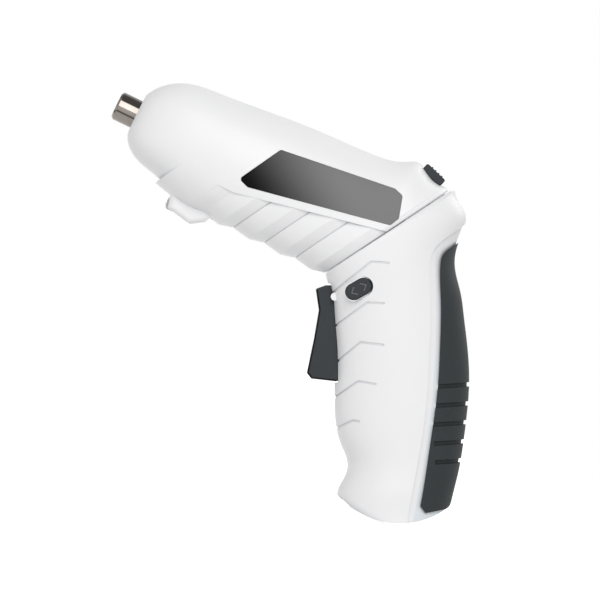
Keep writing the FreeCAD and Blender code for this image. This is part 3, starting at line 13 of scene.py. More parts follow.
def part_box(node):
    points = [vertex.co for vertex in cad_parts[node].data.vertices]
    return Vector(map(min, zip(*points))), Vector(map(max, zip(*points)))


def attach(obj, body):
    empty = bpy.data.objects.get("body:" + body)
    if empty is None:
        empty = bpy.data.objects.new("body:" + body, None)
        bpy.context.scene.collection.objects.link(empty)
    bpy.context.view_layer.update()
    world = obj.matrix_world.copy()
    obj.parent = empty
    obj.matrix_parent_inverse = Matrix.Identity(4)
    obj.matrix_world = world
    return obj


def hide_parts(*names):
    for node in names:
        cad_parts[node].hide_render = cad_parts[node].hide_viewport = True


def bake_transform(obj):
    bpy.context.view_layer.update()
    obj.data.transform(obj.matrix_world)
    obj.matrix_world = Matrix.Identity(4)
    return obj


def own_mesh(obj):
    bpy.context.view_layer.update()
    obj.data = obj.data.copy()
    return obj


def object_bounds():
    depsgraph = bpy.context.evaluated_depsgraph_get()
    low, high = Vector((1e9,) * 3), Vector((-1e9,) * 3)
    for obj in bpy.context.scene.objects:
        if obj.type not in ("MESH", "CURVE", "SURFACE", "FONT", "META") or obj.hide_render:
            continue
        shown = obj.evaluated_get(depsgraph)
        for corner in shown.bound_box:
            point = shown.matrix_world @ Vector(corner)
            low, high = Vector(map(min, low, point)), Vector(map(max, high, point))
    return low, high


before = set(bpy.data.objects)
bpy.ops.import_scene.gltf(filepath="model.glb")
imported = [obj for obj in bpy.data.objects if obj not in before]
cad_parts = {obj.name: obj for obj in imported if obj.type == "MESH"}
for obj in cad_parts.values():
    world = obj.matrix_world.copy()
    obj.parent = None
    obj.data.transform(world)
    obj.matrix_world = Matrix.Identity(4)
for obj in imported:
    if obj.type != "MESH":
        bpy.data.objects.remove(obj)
CAD_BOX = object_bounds()

log = logging.getLogger("screwdriver")

Colour = Tuple[float, float, float]
Point = Tuple[float, float, float]
Span = Tuple[float, float]

# The tool's frame: x runs back along the bit axis from the socket's mouth and z is up, in metres.
MM = 0.001
RAKE = math.radians(61.0)
SWIVEL_CENTRE = Vector((112.5 * MM, 0.0, 0.0))
DOWN_HANDLE = Vector((math.cos(RAKE), 0.0, -math.sin(RAKE)))
BACK_HANDLE = Vector((math.sin(RAKE), 0.0, math.cos(RAKE)))
SEAM_NORMAL = Vector((math.cos(RAKE / 2), 0.0, -math.sin(RAKE / 2)))
UP_SEAM = Vector((math.sin(RAKE / 2), 0.0, math.cos(RAKE / 2)))
SIDEWAYS = Vector((0.0, 1.0, 0.0))
UPWARD = Vector((0.0, 0.0, 1.0))


class Signal:
    """A shader socket that takes part in sums written as Python expressions."""

    def __init__(self, graph: "Graph", socket: bpy.types.NodeSocket) -> None:
        """Wraps one output socket of a graph's node."""
        self.graph = graph
        self.socket = socket

    def _sum(self, operation: str, first: "Value", second: "Value") -> "Signal":
        """Adds one Math node.

        Args:
            operation: the Math node's operation.
            first: its first value.
            second: its second value.

        Returns:
            The Math node's result.
        """
        return self.graph.add("ShaderNodeMath", {"operation": operation}, {0: first, 1: second})

    def __add__(self, other: "Value") -> "Signal":
        """Sum."""
        return self._sum("ADD", self, other)

    def __radd__(self, other: "Value") -> "Signal":
        """Sum with the number first."""
        return self._sum("ADD", other, self)

    def __sub__(self, other: "Value") -> "Signal":
        """Difference."""
        return self._sum("SUBTRACT", self, other)

    def __rsub__(self, other: "Value") -> "Signal":
        """Difference with the number first."""
        return self._sum("SUBTRACT", other, self)

    def __mul__(self, other: "Value") -> "Signal":
        """Product."""
        return self._sum("MULTIPLY", self, other)

    def __rmul__(self, other: "Value") -> "Signal":
        """Product with the number first."""
        return self._sum("MULTIPLY", other, self)

    def __abs__(self) -> "Signal":
        """Size without its sign."""
        return self._sum("ABSOLUTE", self, 0.0)

    def rise(self, low: float, high: float) -> "Signal":
        """Smooth step from 0 to 1.

        Args:
            low: value at and below which the step is 0.
            high: value at and above which the step is 1.

        Returns:
            The step.
        """
        return self.graph.add("ShaderNodeMapRange", {"interpolation_type": "SMOOTHSTEP"},
                              {"Value": self, "From Min": low, "From Max": high})


Value = Union[Signal, float, Sequence[float]]
Owner = Union[bpy.types.Material, bpy.types.World]


class Graph:
    """Node tree of one material or world, with one shader at its end."""

    def __init__(self, owner: Owner, shader: str = "Principled BSDF") -> None:
        """Starts on the nodes of a new material or world.

        Args:
            owner: the material or world.
            shader: name of the shader node at its end.
        """
        owner.use_nodes = True
        self.owner = owner
        self.tree = owner.node_tree
        self.shader = self.tree.nodes[shader]

    def add(self, kind: str, settings: Optional[Mapping[str, Any]] = None,
            sockets: Optional[Mapping[Union[str, int], Value]] = None,
            output: Union[str, int] = 0) -> Signal:
        """Adds one node.

        Args:
            kind: the node's type.
            settings: its own properties.
            sockets: values or links of its inputs, by name or place.
            output: the output to give back, by name or place.

        Returns:
            That output.
        """
        made = self.tree.nodes.new(kind)
        for key, setting in (settings or {}).items():
            setattr(made, key, setting)
        for key, value in (sockets or {}).items():
            self.feed(made.inputs[key], value)
        return Signal(self, made.outputs[output])

    def feed(self, socket: bpy.types.NodeSocket, value: Value) -> None:
        """Links a signal to an input, or sets its own value.

        Args:
            socket: the input.
            value: the signal, number, colour or vector.
        """
        if isinstance(value, Signal):
            self.tree.links.new(value.socket, socket)
        elif socket.type == "RGBA":
            socket.default_value = (*value, 1.0)
        else:
            socket.default_value = value

    def surface(self, **sockets: Value) -> Owner:
        """Sets the shader's inputs.

        Args:
            sockets: values or links, named as the inputs with _ for a space.

        Returns:
            The finished material or world.
        """
        for name, value in sockets.items():
            self.feed(self.shader.inputs[name.replace("_", " ")], value)
        return self.owner

    def seen(self) -> Signal:
        """1 for rays that show a thing to the eye and 0 for rays that only carry its light."""
        rays = [self.add("ShaderNodeLightPath", output=f"Is {kind} Ray")
                for kind in ("Camera", "Glossy", "Transmission")]
        return (rays[0] + rays[1] + rays[2]).rise(0.0, 1.0)

    def place(self) -> Signal:
        """Point of the surface in its piece's own frame, in metres."""
        return self.add("ShaderNodeTexCoord", output="Object")

    def vectors(self, operation: str, first: Value, second: Value, output: str = "Vector") -> Signal:
        """Adds one Vector Math node.

        Args:
            operation: the node's operation.
            first: its first vector.
            second: its second vector.
            output: the output to give back, Vector or Value.

        Returns:
            That output.
        """
        return self.add("ShaderNodeVectorMath", {"operation": operation}, {0: first, 1: second}, output)

    def along(self, start: Sequence[float], direction: Sequence[float]) -> Signal:
        """How far the surface lies from a point along a direction.

        Args:
            start: the point, in the piece's own frame.
            direction: the direction; its length scales the result.

        Returns:
            The distance.
        """
        return self.vectors("DOT_PRODUCT", self.vectors("SUBTRACT", self.place(), start), direction, "Value")

    def facing(self, direction: Sequence[float]) -> Signal:
        """How squarely the surface faces a direction of its piece's own frame, from -1 to 1."""
        normal = self.add("ShaderNodeTexCoord", output="Normal")
        return self.vectors("DOT_PRODUCT", normal, direction, "Value")

    def noise(self, size: float, detail: float = 2.0, stretch: Point = (1.0, 1.0, 1.0)) -> Signal:
        """Cloudy pattern.

        Args:
            size: length of one cloud in metres.
            detail: octaves of finer clouds.
            stretch: how much finer the clouds are along each axis.

        Returns:
            The pattern from 0 to 1.
        """
        points = self.vectors("MULTIPLY", self.place(), stretch)
        sockets = {"Vector": points, "Scale": 1.0 / size, "Detail": detail}
        return self.add("ShaderNodeTexNoise", {}, sockets, "Fac")

    def mix(self, share: Value, first: Value, second: Value) -> Signal:
        """Colour between two colours."""
        return self.add("ShaderNodeMix", {"data_type": "RGBA"}, {0: share, 6: first, 7: second}, 2)

    def bump(self, height: Signal, depth: float) -> Signal:
        """Normal of a surface with small relief.

        Args:
            height: relief from 0 to 1.
            depth: metres from its lowest to its highest point.

        Returns:
            The normal.
        """
        return self.add("ShaderNodeBump", {}, {"Height": height, "Distance": depth}, "Normal")

    def crevice(self, reach: float, samples: int = 8) -> Signal:
        """How open the surface is: 1 in the open and lower in creases.

        Args:
            reach: how far the neighbours count, in metres.
            samples: rays that look for neighbours.

        Returns:
            The openness.
        """
        settings = {"samples": samples, "only_local": False}
        return self.add("ShaderNodeAmbientOcclusion", settings, {"Distance": reach}, "AO")


# Constants of the standard curve between screen levels and light.
SCREEN_WHITE = 255.0
CURVE_KNEE = 0.04045
CURVE_SLOPE = 12.92
CURVE_LIFT = 0.055
CURVE_POWER = 2.4


def shade(level: float) -> float:
    """Linear light of a screen level.

    Args:
        level: the level, from 0 to 255.

    Returns:
        The light, from 0 to 1.
    """
    share = level / SCREEN_WHITE
    if share <= CURVE_KNEE:
        return share / CURVE_SLOPE
    return ((share + CURVE_LIFT) / (1 + CURVE_LIFT)) ** CURVE_POWER


def tint(red: float, green: float, blue: float) -> Colour:
    """Linear colour of three screen levels."""
    return shade(red), shade(green), shade(blue)


def dimmed(colour: Colour, share: float) -> Colour:
    """A colour at a share of its light."""
    return tuple(part * share for part in colour)


def about(base: float, *spreads: Tuple[Signal, float]) -> Signal:
    """Value that varies about a base.

    Args:
        base: the value's middle.
        spreads: patterns from 0 to 1, each with the width of its effect.

    Returns:
        The varying value.
    """
    return base + sum((pattern - 0.5) * width for pattern, width in spreads)


@dataclass(frozen=True)
class Finish:
    """Base of all finishes."""
    name: str
    colour: Colour

    def material(self) -> bpy.types.Material:
        """The finish as a material, made once."""
        known = bpy.data.materials.get(self.title)
        return known if known else self.make(Graph(bpy.data.materials.new(self.title)))

    @property
    def title(self) -> str:
        """Name of the finished material."""
        return f"{self.name}_finish"

    def make(self, graph: Graph) -> bpy.types.Material:
        """Builds the material on the nodes of a graph."""
        raise NotImplementedError


@dataclass(frozen=True)
class Moulding(Finish):
    """Moulded plastic or rubber with a fine grain, faint flow clouds and painted shade in its creases."""
    roughness: float = 0.4
    grain: float = 0.6 * MM
    grain_depth: float = 0.02 * MM
    grain_gloss: float = 0.06
    cloud: float = 0.02
    cloud_size: float = 30.0 * MM
    cloud_detail: float = 3.0
    cloud_gloss: float = 0.08
    crease_shade_reach: float = 4.0 * MM
    shade_and_parting_tint: Colour = (0.5, 0.5, 0.5)
    crease_shade_turn: Span = (0.25, 0.85)
    specular: float = 0.5
    parting: float = 0.0
    parting_share: float = 0.35

    def make(self, graph: Graph) -> bpy.types.Material:
        """Builds the material on the nodes of a graph.

        Args:
            graph: the new material's nodes.

        Returns:
            The material.
        """
        clouds = graph.noise(self.cloud_size, self.cloud_detail)
        grain = graph.noise(self.grain)
        # Painted shade: the colour darkens in creases and hollows where the AO node finds nearby faces; along
        # a given parting line it darkens too, as a real dark joint.
        shade_and_parting_colour = tuple(part * dim for part, dim in zip(self.colour, self.shade_and_parting_tint))
        openness = graph.crevice(self.crease_shade_reach).rise(*self.crease_shade_turn)
        if self.parting:
            across = abs(graph.along((0.0, 0.0, 0.0), SIDEWAYS)).rise(self.parting / 2, self.parting)
            openness = openness * (self.parting_share + (1 - self.parting_share) * across)
        return graph.surface(
            Base_Color=graph.mix(openness, shade_and_parting_colour, self.body(graph, clouds)),
            Roughness=about(self.roughness, (clouds, self.cloud_gloss), (grain, self.grain_gloss)),
            Normal=graph.bump(grain, self.grain_depth),
            Specular_IOR_Level=self.specular)

    def body(self, graph: Graph, clouds: Signal) -> Signal:
        """Colour of the open surface."""
        return graph.mix(clouds, self.colour, dimmed(self.colour, 1 - self.cloud))


@dataclass(frozen=True)
class HandleMoulding(Moulding):
    """Moulding of the handle with painted shade and a cool painted reflection in the sunk strip beside the
    grip, whose edge is a shallow bow.
    """
    strip_shade_colour: Colour = (0.7, 0.75, 0.8)
    strip_back: float = 18.3 * MM
    strip_slope: float = 0.0308
    strip_bow: float = -1.422
    strip_soft: float = 1.0 * MM
    strip_top: Span = (2.0 * MM, 16.0 * MM)

    def body(self, graph: Graph, clouds: Signal) -> Signal:
        """Colour of the open surface.

        Args:
            graph: the material's nodes.
            clouds: the moulding's flow clouds.

        Returns:
            The colour.
        """
        down = graph.along(SWIVEL_CENTRE, DOWN_HANDLE)
        back = graph.along(SWIVEL_CENTRE, BACK_HANDLE)
        edge = self.strip_back + down * (self.strip_slope + self.strip_bow * down)
        # Painted shade and reflection: the sunk strip beside the grip takes a cooler, darker colour.
        inside = (back - edge).rise(0.0, self.strip_soft) * down.rise(*self.strip_top)
        return graph.mix(inside, super().body(graph, clouds), self.strip_shade_colour)


@dataclass(frozen=True)
class TriggerMoulding(Moulding):
    """Moulding of the trigger with painted shade on the faces round its front and foot."""
    rim_shade_share: float = 0.12
    rim_shade_turn: Span = (0.03, 0.25)
    rim_shade_lean: float = 0.6

    def body(self, graph: Graph, clouds: Signal) -> Signal:
        """Colour of the open surface."""
        # Painted shade: faces that turn to the trigger's front and foot are darkened.
        rim = graph.facing((DOWN_HANDLE * self.rim_shade_lean - BACK_HANDLE).normalized()).rise(*self.rim_shade_turn)
        return graph.mix(rim, super().body(graph, clouds), dimmed(self.colour, self.rim_shade_share))


@dataclass(frozen=True)
class Metal(Finish):
    """Metal with fine turning marks round the bit axis."""
    roughness: float = 0.2
    detail: float = 3.0
    mark: float = 0.4 * MM
    mark_depth: float = 0.004 * MM
    mark_gloss: float = 0.12
    mark_stretch: Point = (1.0, 0.05, 0.05)
    stain: float = 6.0 * MM
    stain_share: float = 0.82
    stain_turn: Span = (0.35, 0.75)
    stain_gloss: float = 0.06

    def make(self, graph: Graph) -> bpy.types.Material:
        """Builds the material on the nodes of a graph.

        Args:
            graph: the new material's nodes.

        Returns:
            The material.
        """
        marks = graph.noise(self.mark, self.detail, self.mark_stretch)
        stains = graph.noise(self.stain, self.detail)
        return graph.surface(
            Base_Color=self.body(graph, stains),
            Metallic=1.0,
            Roughness=about(self.roughness, (marks, self.mark_gloss), (stains, self.stain_gloss)),
            Normal=graph.bump(marks, self.mark_depth))

    def body(self, graph: Graph, stains: Signal) -> Signal:
        """Colour of the metal."""
        return graph.mix(stains.rise(*self.stain_turn), self.colour, dimmed(self.colour, self.stain_share))


@dataclass(frozen=True)
class Plating(Metal):
    """Polished plating with painted reflections: dark lengthwise stripes, each from one height to another up
    the round side.
    """
    reflection_bands: Tuple[Span, ...] = ((-0.44, -0.24), (0.36, 0.90))
    reflection_band_soft: float = 0.08
    reflection_band_share: float = 0.25

    def body(self, graph: Graph, stains: Signal) -> Signal:
        """Colour of the metal.

        Args:
            graph: the material's nodes.
            stains: the metal's clouds of stain.

        Returns:
            The colour.
        """
        # Painted reflection: the metal darkens in stripes where its round side faces given heights, as dark
        # surroundings would show in it.
        height = graph.facing(UPWARD)
        inside = sum(height.rise(low, low + self.reflection_band_soft) - height.rise(high - self.reflection_band_soft, high)
                     for low, high in self.reflection_bands)
        return graph.mix(inside, super().body(graph, stains), dimmed(self.colour, self.reflection_band_share))


@dataclass(frozen=True)
class ShadedLacquer(Finish):
    """Dark lacquer with a painted reflection that fades along the panel from one tone to another."""
    far_reflection_colour: Colour = (0.25, 0.25, 0.25)
    start: Point = (57.0 * MM, 0.0, -6.0 * MM)
    end: Point = (78.6 * MM, 0.0, 22.8 * MM)
    roughness: float = 0.3
    specular: float = 0.15
    speck: float = 0.4 * MM
    speck_depth: float = 0.006 * MM
    speck_gloss: float = 0.05

    def make(self, graph: Graph) -> bpy.types.Material:
        """Builds the material on the nodes of a graph.

        Args:
            graph: the new material's nodes.

        Returns:
            The material.
        """
        # Painted reflection: the colour fades from the near tone to the far tone across the panel.
        run = Vector(self.end) - Vector(self.start)
        reflection_fade = graph.along(self.start, run / run.length_squared).rise(0.0, 1.0)
        specks = graph.noise(self.speck)
        return graph.surface(
            Base_Color=graph.mix(reflection_fade, self.colour, self.far_reflection_colour),
            Roughness=about(self.roughness, (specks, self.speck_gloss)),
            Specular_IOR_Level=self.specular,
            Normal=graph.bump(specks, self.speck_depth))


@dataclass(frozen=True)
class ClearMoulding(Finish):
    """Clear or milky plastic of a lens."""
    roughness: float = 0.16
    clear: float = 0.6
    bend: float = 1.49
    haze: float = 2.0 * MM
    haze_detail: float = 3.0
    haze_share: float = 0.93
    haze_gloss: float = 0.08
    haze_depth: float = 0.01 * MM

    def make(self, graph: Graph) -> bpy.types.Material:
        """Builds the material on the nodes of a graph.

        Args:
            graph: the new material's nodes.

        Returns:
            The material.
        """
        haze = graph.noise(self.haze, self.haze_detail)
        return graph.surface(
            Base_Color=graph.mix(haze, self.colour, dimmed(self.colour, self.haze_share)),
            Roughness=about(self.roughness, (haze, self.haze_gloss)),
            Transmission_Weight=self.clear,
            IOR=self.bend,
            Normal=graph.bump(haze, self.haze_depth))


class Finishes(Enum):
    """The finishes of this tool."""
    # The shells' crease tint sets how dark their painted crease shade and their parting line get.
    SHELL = Moulding("white_shell", tint(241, 241, 242), roughness=0.42,
                     shade_and_parting_tint=(0.66, 0.67, 0.69), parting=0.16 * MM)
    # The handle's strip colour is painted shade with a cool painted reflection.
    HANDLE = HandleMoulding("handle_shell", tint(241, 241, 242), roughness=0.42,
                            shade_and_parting_tint=(0.66, 0.67, 0.69), parting=0.16 * MM,
                            strip_shade_colour=tint(226, 231, 235))
    # The panel's fade from near black to mid grey is a painted reflection.
    PANEL = ShadedLacquer("dark_panel", tint(10, 10, 10), far_reflection_colour=tint(128, 128, 128), specular=0.04)
    CONTROL = Moulding("dark_control", tint(55, 58, 61), roughness=0.45, cloud=0.1,
                       grain=0.5 * MM, specular=0.14)
    # The trigger's finish darkens its front and foot as painted shade.
    TRIGGER = TriggerMoulding("trigger", tint(64, 68, 71), roughness=0.5, cloud=0.1,
                              grain=0.5 * MM, specular=0.06)
    MARK = Moulding("control_mark", tint(98, 101, 104), roughness=0.5, cloud=0.1, specular=0.25)
    GRIP = Moulding("grip_rubber", tint(53, 57, 59), roughness=0.66, cloud=0.12,
                    grain=0.7 * MM, grain_depth=0.06 * MM, specular=0.2)
    # The holder's plating carries dark painted reflections in stripes along it.
    PLATED = Plating("plated_steel", (0.205, 0.185, 0.168), roughness=0.13)
    STEEL = Metal("steel", (0.55, 0.55, 0.55), roughness=0.34, mark_depth=0.01 * MM)
    CONTACT = Metal("contact", (0.72, 0.55, 0.26), roughness=0.25)
    BRONZE = Metal("bronze", (0.62, 0.42, 0.24), roughness=0.4, mark_depth=0.01 * MM)
    FERRITE = Moulding("ferrite", tint(56, 56, 58), roughness=0.75, cloud=0.2,
                       grain=0.8 * MM, grain_depth=0.05 * MM)
    FILLED = Moulding("grey_plastic", tint(120, 122, 124), roughness=0.5, cloud=0.1)
    LENS = ClearMoulding("clear_lens", (0.93, 0.94, 0.96))
    WRAP = Moulding("cell_wrap", tint(60, 130, 96), roughness=0.3, cloud=0.08)
    BOARD = Moulding("board", tint(24, 92, 52), roughness=0.4, cloud=0.15)
    CHIP = Moulding("chip", tint(40, 40, 42), roughness=0.5, cloud=0.12)
    LEAD = Moulding("lead_cover", tint(150, 32, 28), roughness=0.5, cloud=0.1)


def dress(node: str, finish: Finishes) -> None:
    """Gives a CAD node a finish.

    Args:
        node: name of the node.
        finish: its finish.
    """
    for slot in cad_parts[node].material_slots:
        slot.material = finish.value.material()
    log.info("dressed %s in %s", node, finish.name)


# Edges that turn more than this are shaded sharp.
SHARP = math.radians(35.0)
# Section of a raised line: how far it is sunk and how wide its top is, and the longest mitre at its corners.
STRIP_SINK_SHARE = 1 / 3
STRIP_TOP_SHARE = 0.7
MITRE_LIMIT = 0.3


@dataclass
class Form:
    """Points and faces of one piece while it is made."""
    points: List[Vector] = field(default_factory=list)
    faces: List[Tuple[int, ...]] = field(default_factory=list)

    def skin(self, rings: Sequence[Sequence[Vector]], loop: bool = False) -> None:
        """Adds a closed skin through rings of equally many points.

        Args:
            rings: the rings in order.
            loop: whether the last ring meets the first; otherwise both are closed by a face.
        """
        start = len(self.points)
        count = len(rings[0])
        total = len(rings)
        for ring in rings:
            self.points.extend(ring)
        for row in range(total if loop else total - 1):
            near = start + row * count
            far = start + (row + 1) % total * count
            for step in range(count):
                after = (step + 1) % count
                self.faces.append((near + step, near + after, far + after, far + step))
        if not loop:
            self.faces.append(tuple(range(start + count - 1, start - 1, -1)))
            self.faces.append(tuple(range(start + count * (total - 1), start + count * total)))

    def strip(self, path: Sequence[Vector], outward: Vector, width: float, height: float) -> None:
        """Adds a raised line on a flat face, mitred at its corners.

        Args:
            path: its corners on the face.
            outward: the face's normal.
            width: width at its foot.
            height: height above the face.
        """
        runs = [(after - before).normalized() for before, after in zip(path, path[1:])]
        raised = outward * height
        sunk = raised * STRIP_SINK_SHARE
        rings = []
        for place, before, after in zip(path, runs[:1] + runs, runs + runs[-1:]):
            middle = (before + after).normalized()
            foot = middle.cross(outward) * (width / 2 / max(MITRE_LIMIT, middle.dot(after)))
            top = foot * STRIP_TOP_SHARE
            rings.append([place - foot - sunk, place + foot - sunk,
                          place + top + raised, place - top + raised])
        self.skin(rings)

    def piece(self, name: str, finish: Finishes) -> bpy.types.Object:
        """Makes the piece.

        Args:
            name: its name.
            finish: its finish.

        Returns:
            The piece.
        """
        mesh = bpy.data.meshes.new(name)
        mesh.from_pydata(self.points, [], self.faces)
        mesh.shade_smooth()
        mesh.set_sharp_from_angle(angle=SHARP)
        mesh.materials.append(finish.value.material())
        made = bpy.data.objects.new(name, mesh)
        bpy.context.scene.collection.objects.link(made)
        log.info("piece %s, %d faces", name, len(self.faces))
        return made


@dataclass
class Screws:
    """Threaded, cross-recessed screws in place of a node's plain ones."""
    node: str
    body: str
    apart: float = 6 * MM
    shank_radius: float = 1.25 * MM
    head_radius: float = 2.4 * MM
    head_height: float = 1.8 * MM
    head_round: float = 0.5 * MM
    pitch: float = 1.1 * MM
    thread_depth: float = 0.22 * MM
    tip_length: float = 2.2 * MM
    tip_share: float = 0.2
    plain_length: float = 3.0 * MM
    recess_reach: float = 1.5 * MM
    recess_half_width: float = 0.42 * MM
    recess_soft: float = 0.16 * MM
    recess_depth: float = 1.1 * MM
    recess_slope: float = 1.6
    turn_steps: int = 40
    thread_steps: int = 4
    head_steps: int = 12
    eye_step: float = 0.2

    def build(self) -> None:
        """Makes all screws of the node as one piece."""
        form = Form()
        for low, high in self.places():
            form.skin(self.rings(low, high))
        made = form.piece(f"{self.node}_threaded", Finishes.STEEL)
        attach(made, self.body)
        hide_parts(self.node)

    def places(self) -> List[Tuple[Vector, Vector]]:
        """Finds the screws among the node's corners.

        Returns:
            Tip and head centre of each screw.
        """
        groups: List[List[Vector]] = []
        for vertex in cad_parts[self.node].data.vertices:
            for group in groups:
                if math.hypot(vertex.co.x - group[0].x, vertex.co.z - group[0].z) < self.apart:
                    group.append(vertex.co)
                    break
            else:
                groups.append([vertex.co])
        ends = []
        for group in groups:
            low = Vector([min(point[axis] for point in group) for axis in range(3)])
            high = Vector([max(point[axis] for point in group) for axis in range(3)])
            middle = (low + high) / 2
            ends.append((Vector((middle.x, low.y, middle.z)), Vector((middle.x, high.y, middle.z))))
        return ends

    def rings(self, tip: Vector, top: Vector) -> List[List[Vector]]:
        """Rings of one screw from its tip to the middle of its head.

        Args:
            tip: its tip.
            top: the middle of its head's top.

        Returns:
            The rings.
        """
        length = top.y - tip.y - self.head_height
        count = round(length / self.pitch * self.thread_steps)
        rings = [self.ring(tip, length * step / count, self.shank_radius, length)
                 for step in range(count + 1)]
        for along in (0.0, self.head_height - self.head_round):
            rings.append(self.ring(tip, length + along, self.head_radius, 0.0))
        for step in range(self.head_steps + 1):
            share = 1 - step / (self.head_steps + self.eye_step)
            rings.append(self.head_ring(top, (self.head_radius - self.head_round) * share))
        return rings

    def ring(self, tip: Vector, along: float, radius: float, length: float) -> List[Vector]:
        """One ring of a shank, or of a head when no threaded length is given.

        Args:
            tip: the screw's tip.
            along: the ring's distance from the tip.
            radius: its radius over the thread.
            length: length of the shank, or 0 for a head.

        Returns:
            The ring.
        """
        points = []
        for step in range(self.turn_steps):
            turn = step / self.turn_steps
            reach = radius
            if length:
                wave = abs(2 * ((turn - along / self.pitch) % 1.0) - 1)
                worked = 0.0 if along > length - self.plain_length else 1.0
                taper = self.tip_share + (1 - self.tip_share) * along / self.tip_length
                reach = (radius - self.thread_depth * wave * worked) * min(1.0, taper)
            angle = 2 * math.pi * turn
            points.append(tip + Vector((reach * math.sin(angle), along, reach * math.cos(angle))))
        return points

    def head_ring(self, top: Vector, radius: float) -> List[Vector]:
        """One ring of a head's top with its share of the cross recess.

        Args:
            top: the middle of the head's top.
            radius: the ring's radius.

        Returns:
            The ring.
        """
        points = []
        for step in range(self.turn_steps):
            angle = 2 * math.pi * step / self.turn_steps
            across, upward = radius * math.sin(angle), radius * math.cos(angle)
            sunk = max(self.slot_share(across, upward), self.slot_share(upward, across)) * self.recess_depth
            points.append(top + Vector((across, -sunk, upward)))
        return points

    def slot_share(self, along: float, across: float) -> float:
        """How deep one slot of the cross is at a point.

        Args:
            along: the point's distance from the middle along the slot.
            across: its distance across the slot.

        Returns:
            The share of the full depth, from 0 to 1.
        """
        side = (self.recess_half_width - abs(across)) / self.recess_soft + 0.5
        end = (self.recess_reach - abs(along)) / self.recess_reach * self.recess_slope
        return max(0.0, min(1.0, side, end))


@dataclass
class Drive:
    """Gearbox, motor and swivel inside the shells."""
    steel: Tuple[str, ...] = ("bit_magnet", "spindle_clip", "output_carrier", "first_carrier", "motor_pinion",
                              "motor_rotor", "motor_can", "motor_terminals", "gearbox_plate",
                              "swivel_ring", "ring_gear")
    planet_sets: Tuple[str, ...] = ("first_planet", "second_planet")
    planets_each: int = 3

    def dress(self) -> None:
        """Gives every inner piece its finish."""
        planets = [f"{stage}_{number + 1}" for stage in self.planet_sets
                   for number in range(self.planets_each)]
        for node in (*self.steel, *planets):
            dress(node, Finishes.STEEL)
        for node in ("spindle_bush", "commutator"):
            dress(node, Finishes.BRONZE)
        dress("motor_magnets", Finishes.FERRITE)
        for node in ("gearbox_housing", "motor_end_cap"):
            dress(node, Finishes.FILLED)
        dress("motor_leads", Finishes.LEAD)
        dress("lamp_led", Finishes.LENS)


@dataclass
class Coil:
    """Wound spring in place of a stiff one."""
    node: str
    body: str
    joint: str
    foot: Vector
    axis: Vector
    radius: float
    length: float
    keep: float
    wire_radius: float = 0.25 * MM
    turns: float = 4.5
    turn_steps: int = 24
    wire_steps: int = 8

    def build(self) -> None:
        """Makes the spring."""
        count = round(self.turns * self.turn_steps)
        upward = SIDEWAYS.cross(self.axis)
        round_wire = [2 * math.pi * point / self.wire_steps for point in range(self.wire_steps)]
        rings = []
        for step in range(count + 1):
            angle = 2 * math.pi * step / self.turn_steps
            ray = SIDEWAYS * math.cos(angle) + upward * math.sin(angle)
            middle = self.foot + ray * self.radius + self.axis * (self.length * step / count)
            rings.append([middle + (ray * math.cos(turn) - self.axis * math.sin(turn)) * self.wire_radius
                          for turn in round_wire])
        form = Form()
        form.skin(rings)
        made = form.piece(f"{self.node}_wound", Finishes.STEEL)
        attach(made, self.body)
        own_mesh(made)
        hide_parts(self.node)


@dataclass
class LatchLeaf:
    """Latch leaf as two halves, jogged clear of the swivel ring."""
    rise: float = 14.0 * MM
    thickness: float = 0.8 * MM
    front: float = -6.05 * MM
    width: float = 2.0 * MM
    half_length: float = 11.0 * MM
    tooth_width: float = 1.8 * MM
    tooth_low: float = 6.3 * MM
    jog: float = 2.5 * MM
    jog_run: Span = (8.4 * MM, 5.6 * MM)
    held_from: float = 8.6 * MM
    pressed_to: float = 1.8 * MM
    steps: int = 22

    def build(self) -> None:
        """Makes both halves."""
        for side, name in ((-1.0, "left"), (1.0, "right")):
            form = Form()
            form.skin([self.section(side * self.half_length * step / self.steps, self.rise)
                       for step in range(self.steps + 1)])
            tooth = [self.section(side * place, self.tooth_low)
                     for place in (self.half_length - self.tooth_width, self.half_length)]
            form.skin(tooth)
            made = form.piece(f"latch_leaf_{name}", Finishes.STEEL)
            ends = [SWIVEL_CENTRE + UP_SEAM * self.rise + SIDEWAYS * side * place
                    for place in (self.held_from, self.pressed_to)]
            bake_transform(made)
            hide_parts("latch_leaf")

    def section(self, across: float, low: float) -> List[Vector]:
        """Section of the leaf.

        Args:
            across: its place across the tool.
            low: height of its lower edge over the swivel centre.

        Returns:
            Its corners.
        """
        start, end = self.jog_run
        jogged = self.jog * max(0.0, min(1.0, (start - abs(across)) / (start - end)))
        root = SWIVEL_CENTRE + SIDEWAYS * across - SEAM_NORMAL * jogged
        return [root + UP_SEAM * height + SEAM_NORMAL * along
                for height, along in ((low, self.front), (self.rise + self.thickness, self.front),
                                      (self.rise + self.thickness, self.front + self.width),
                                      (low, self.front + self.width))]


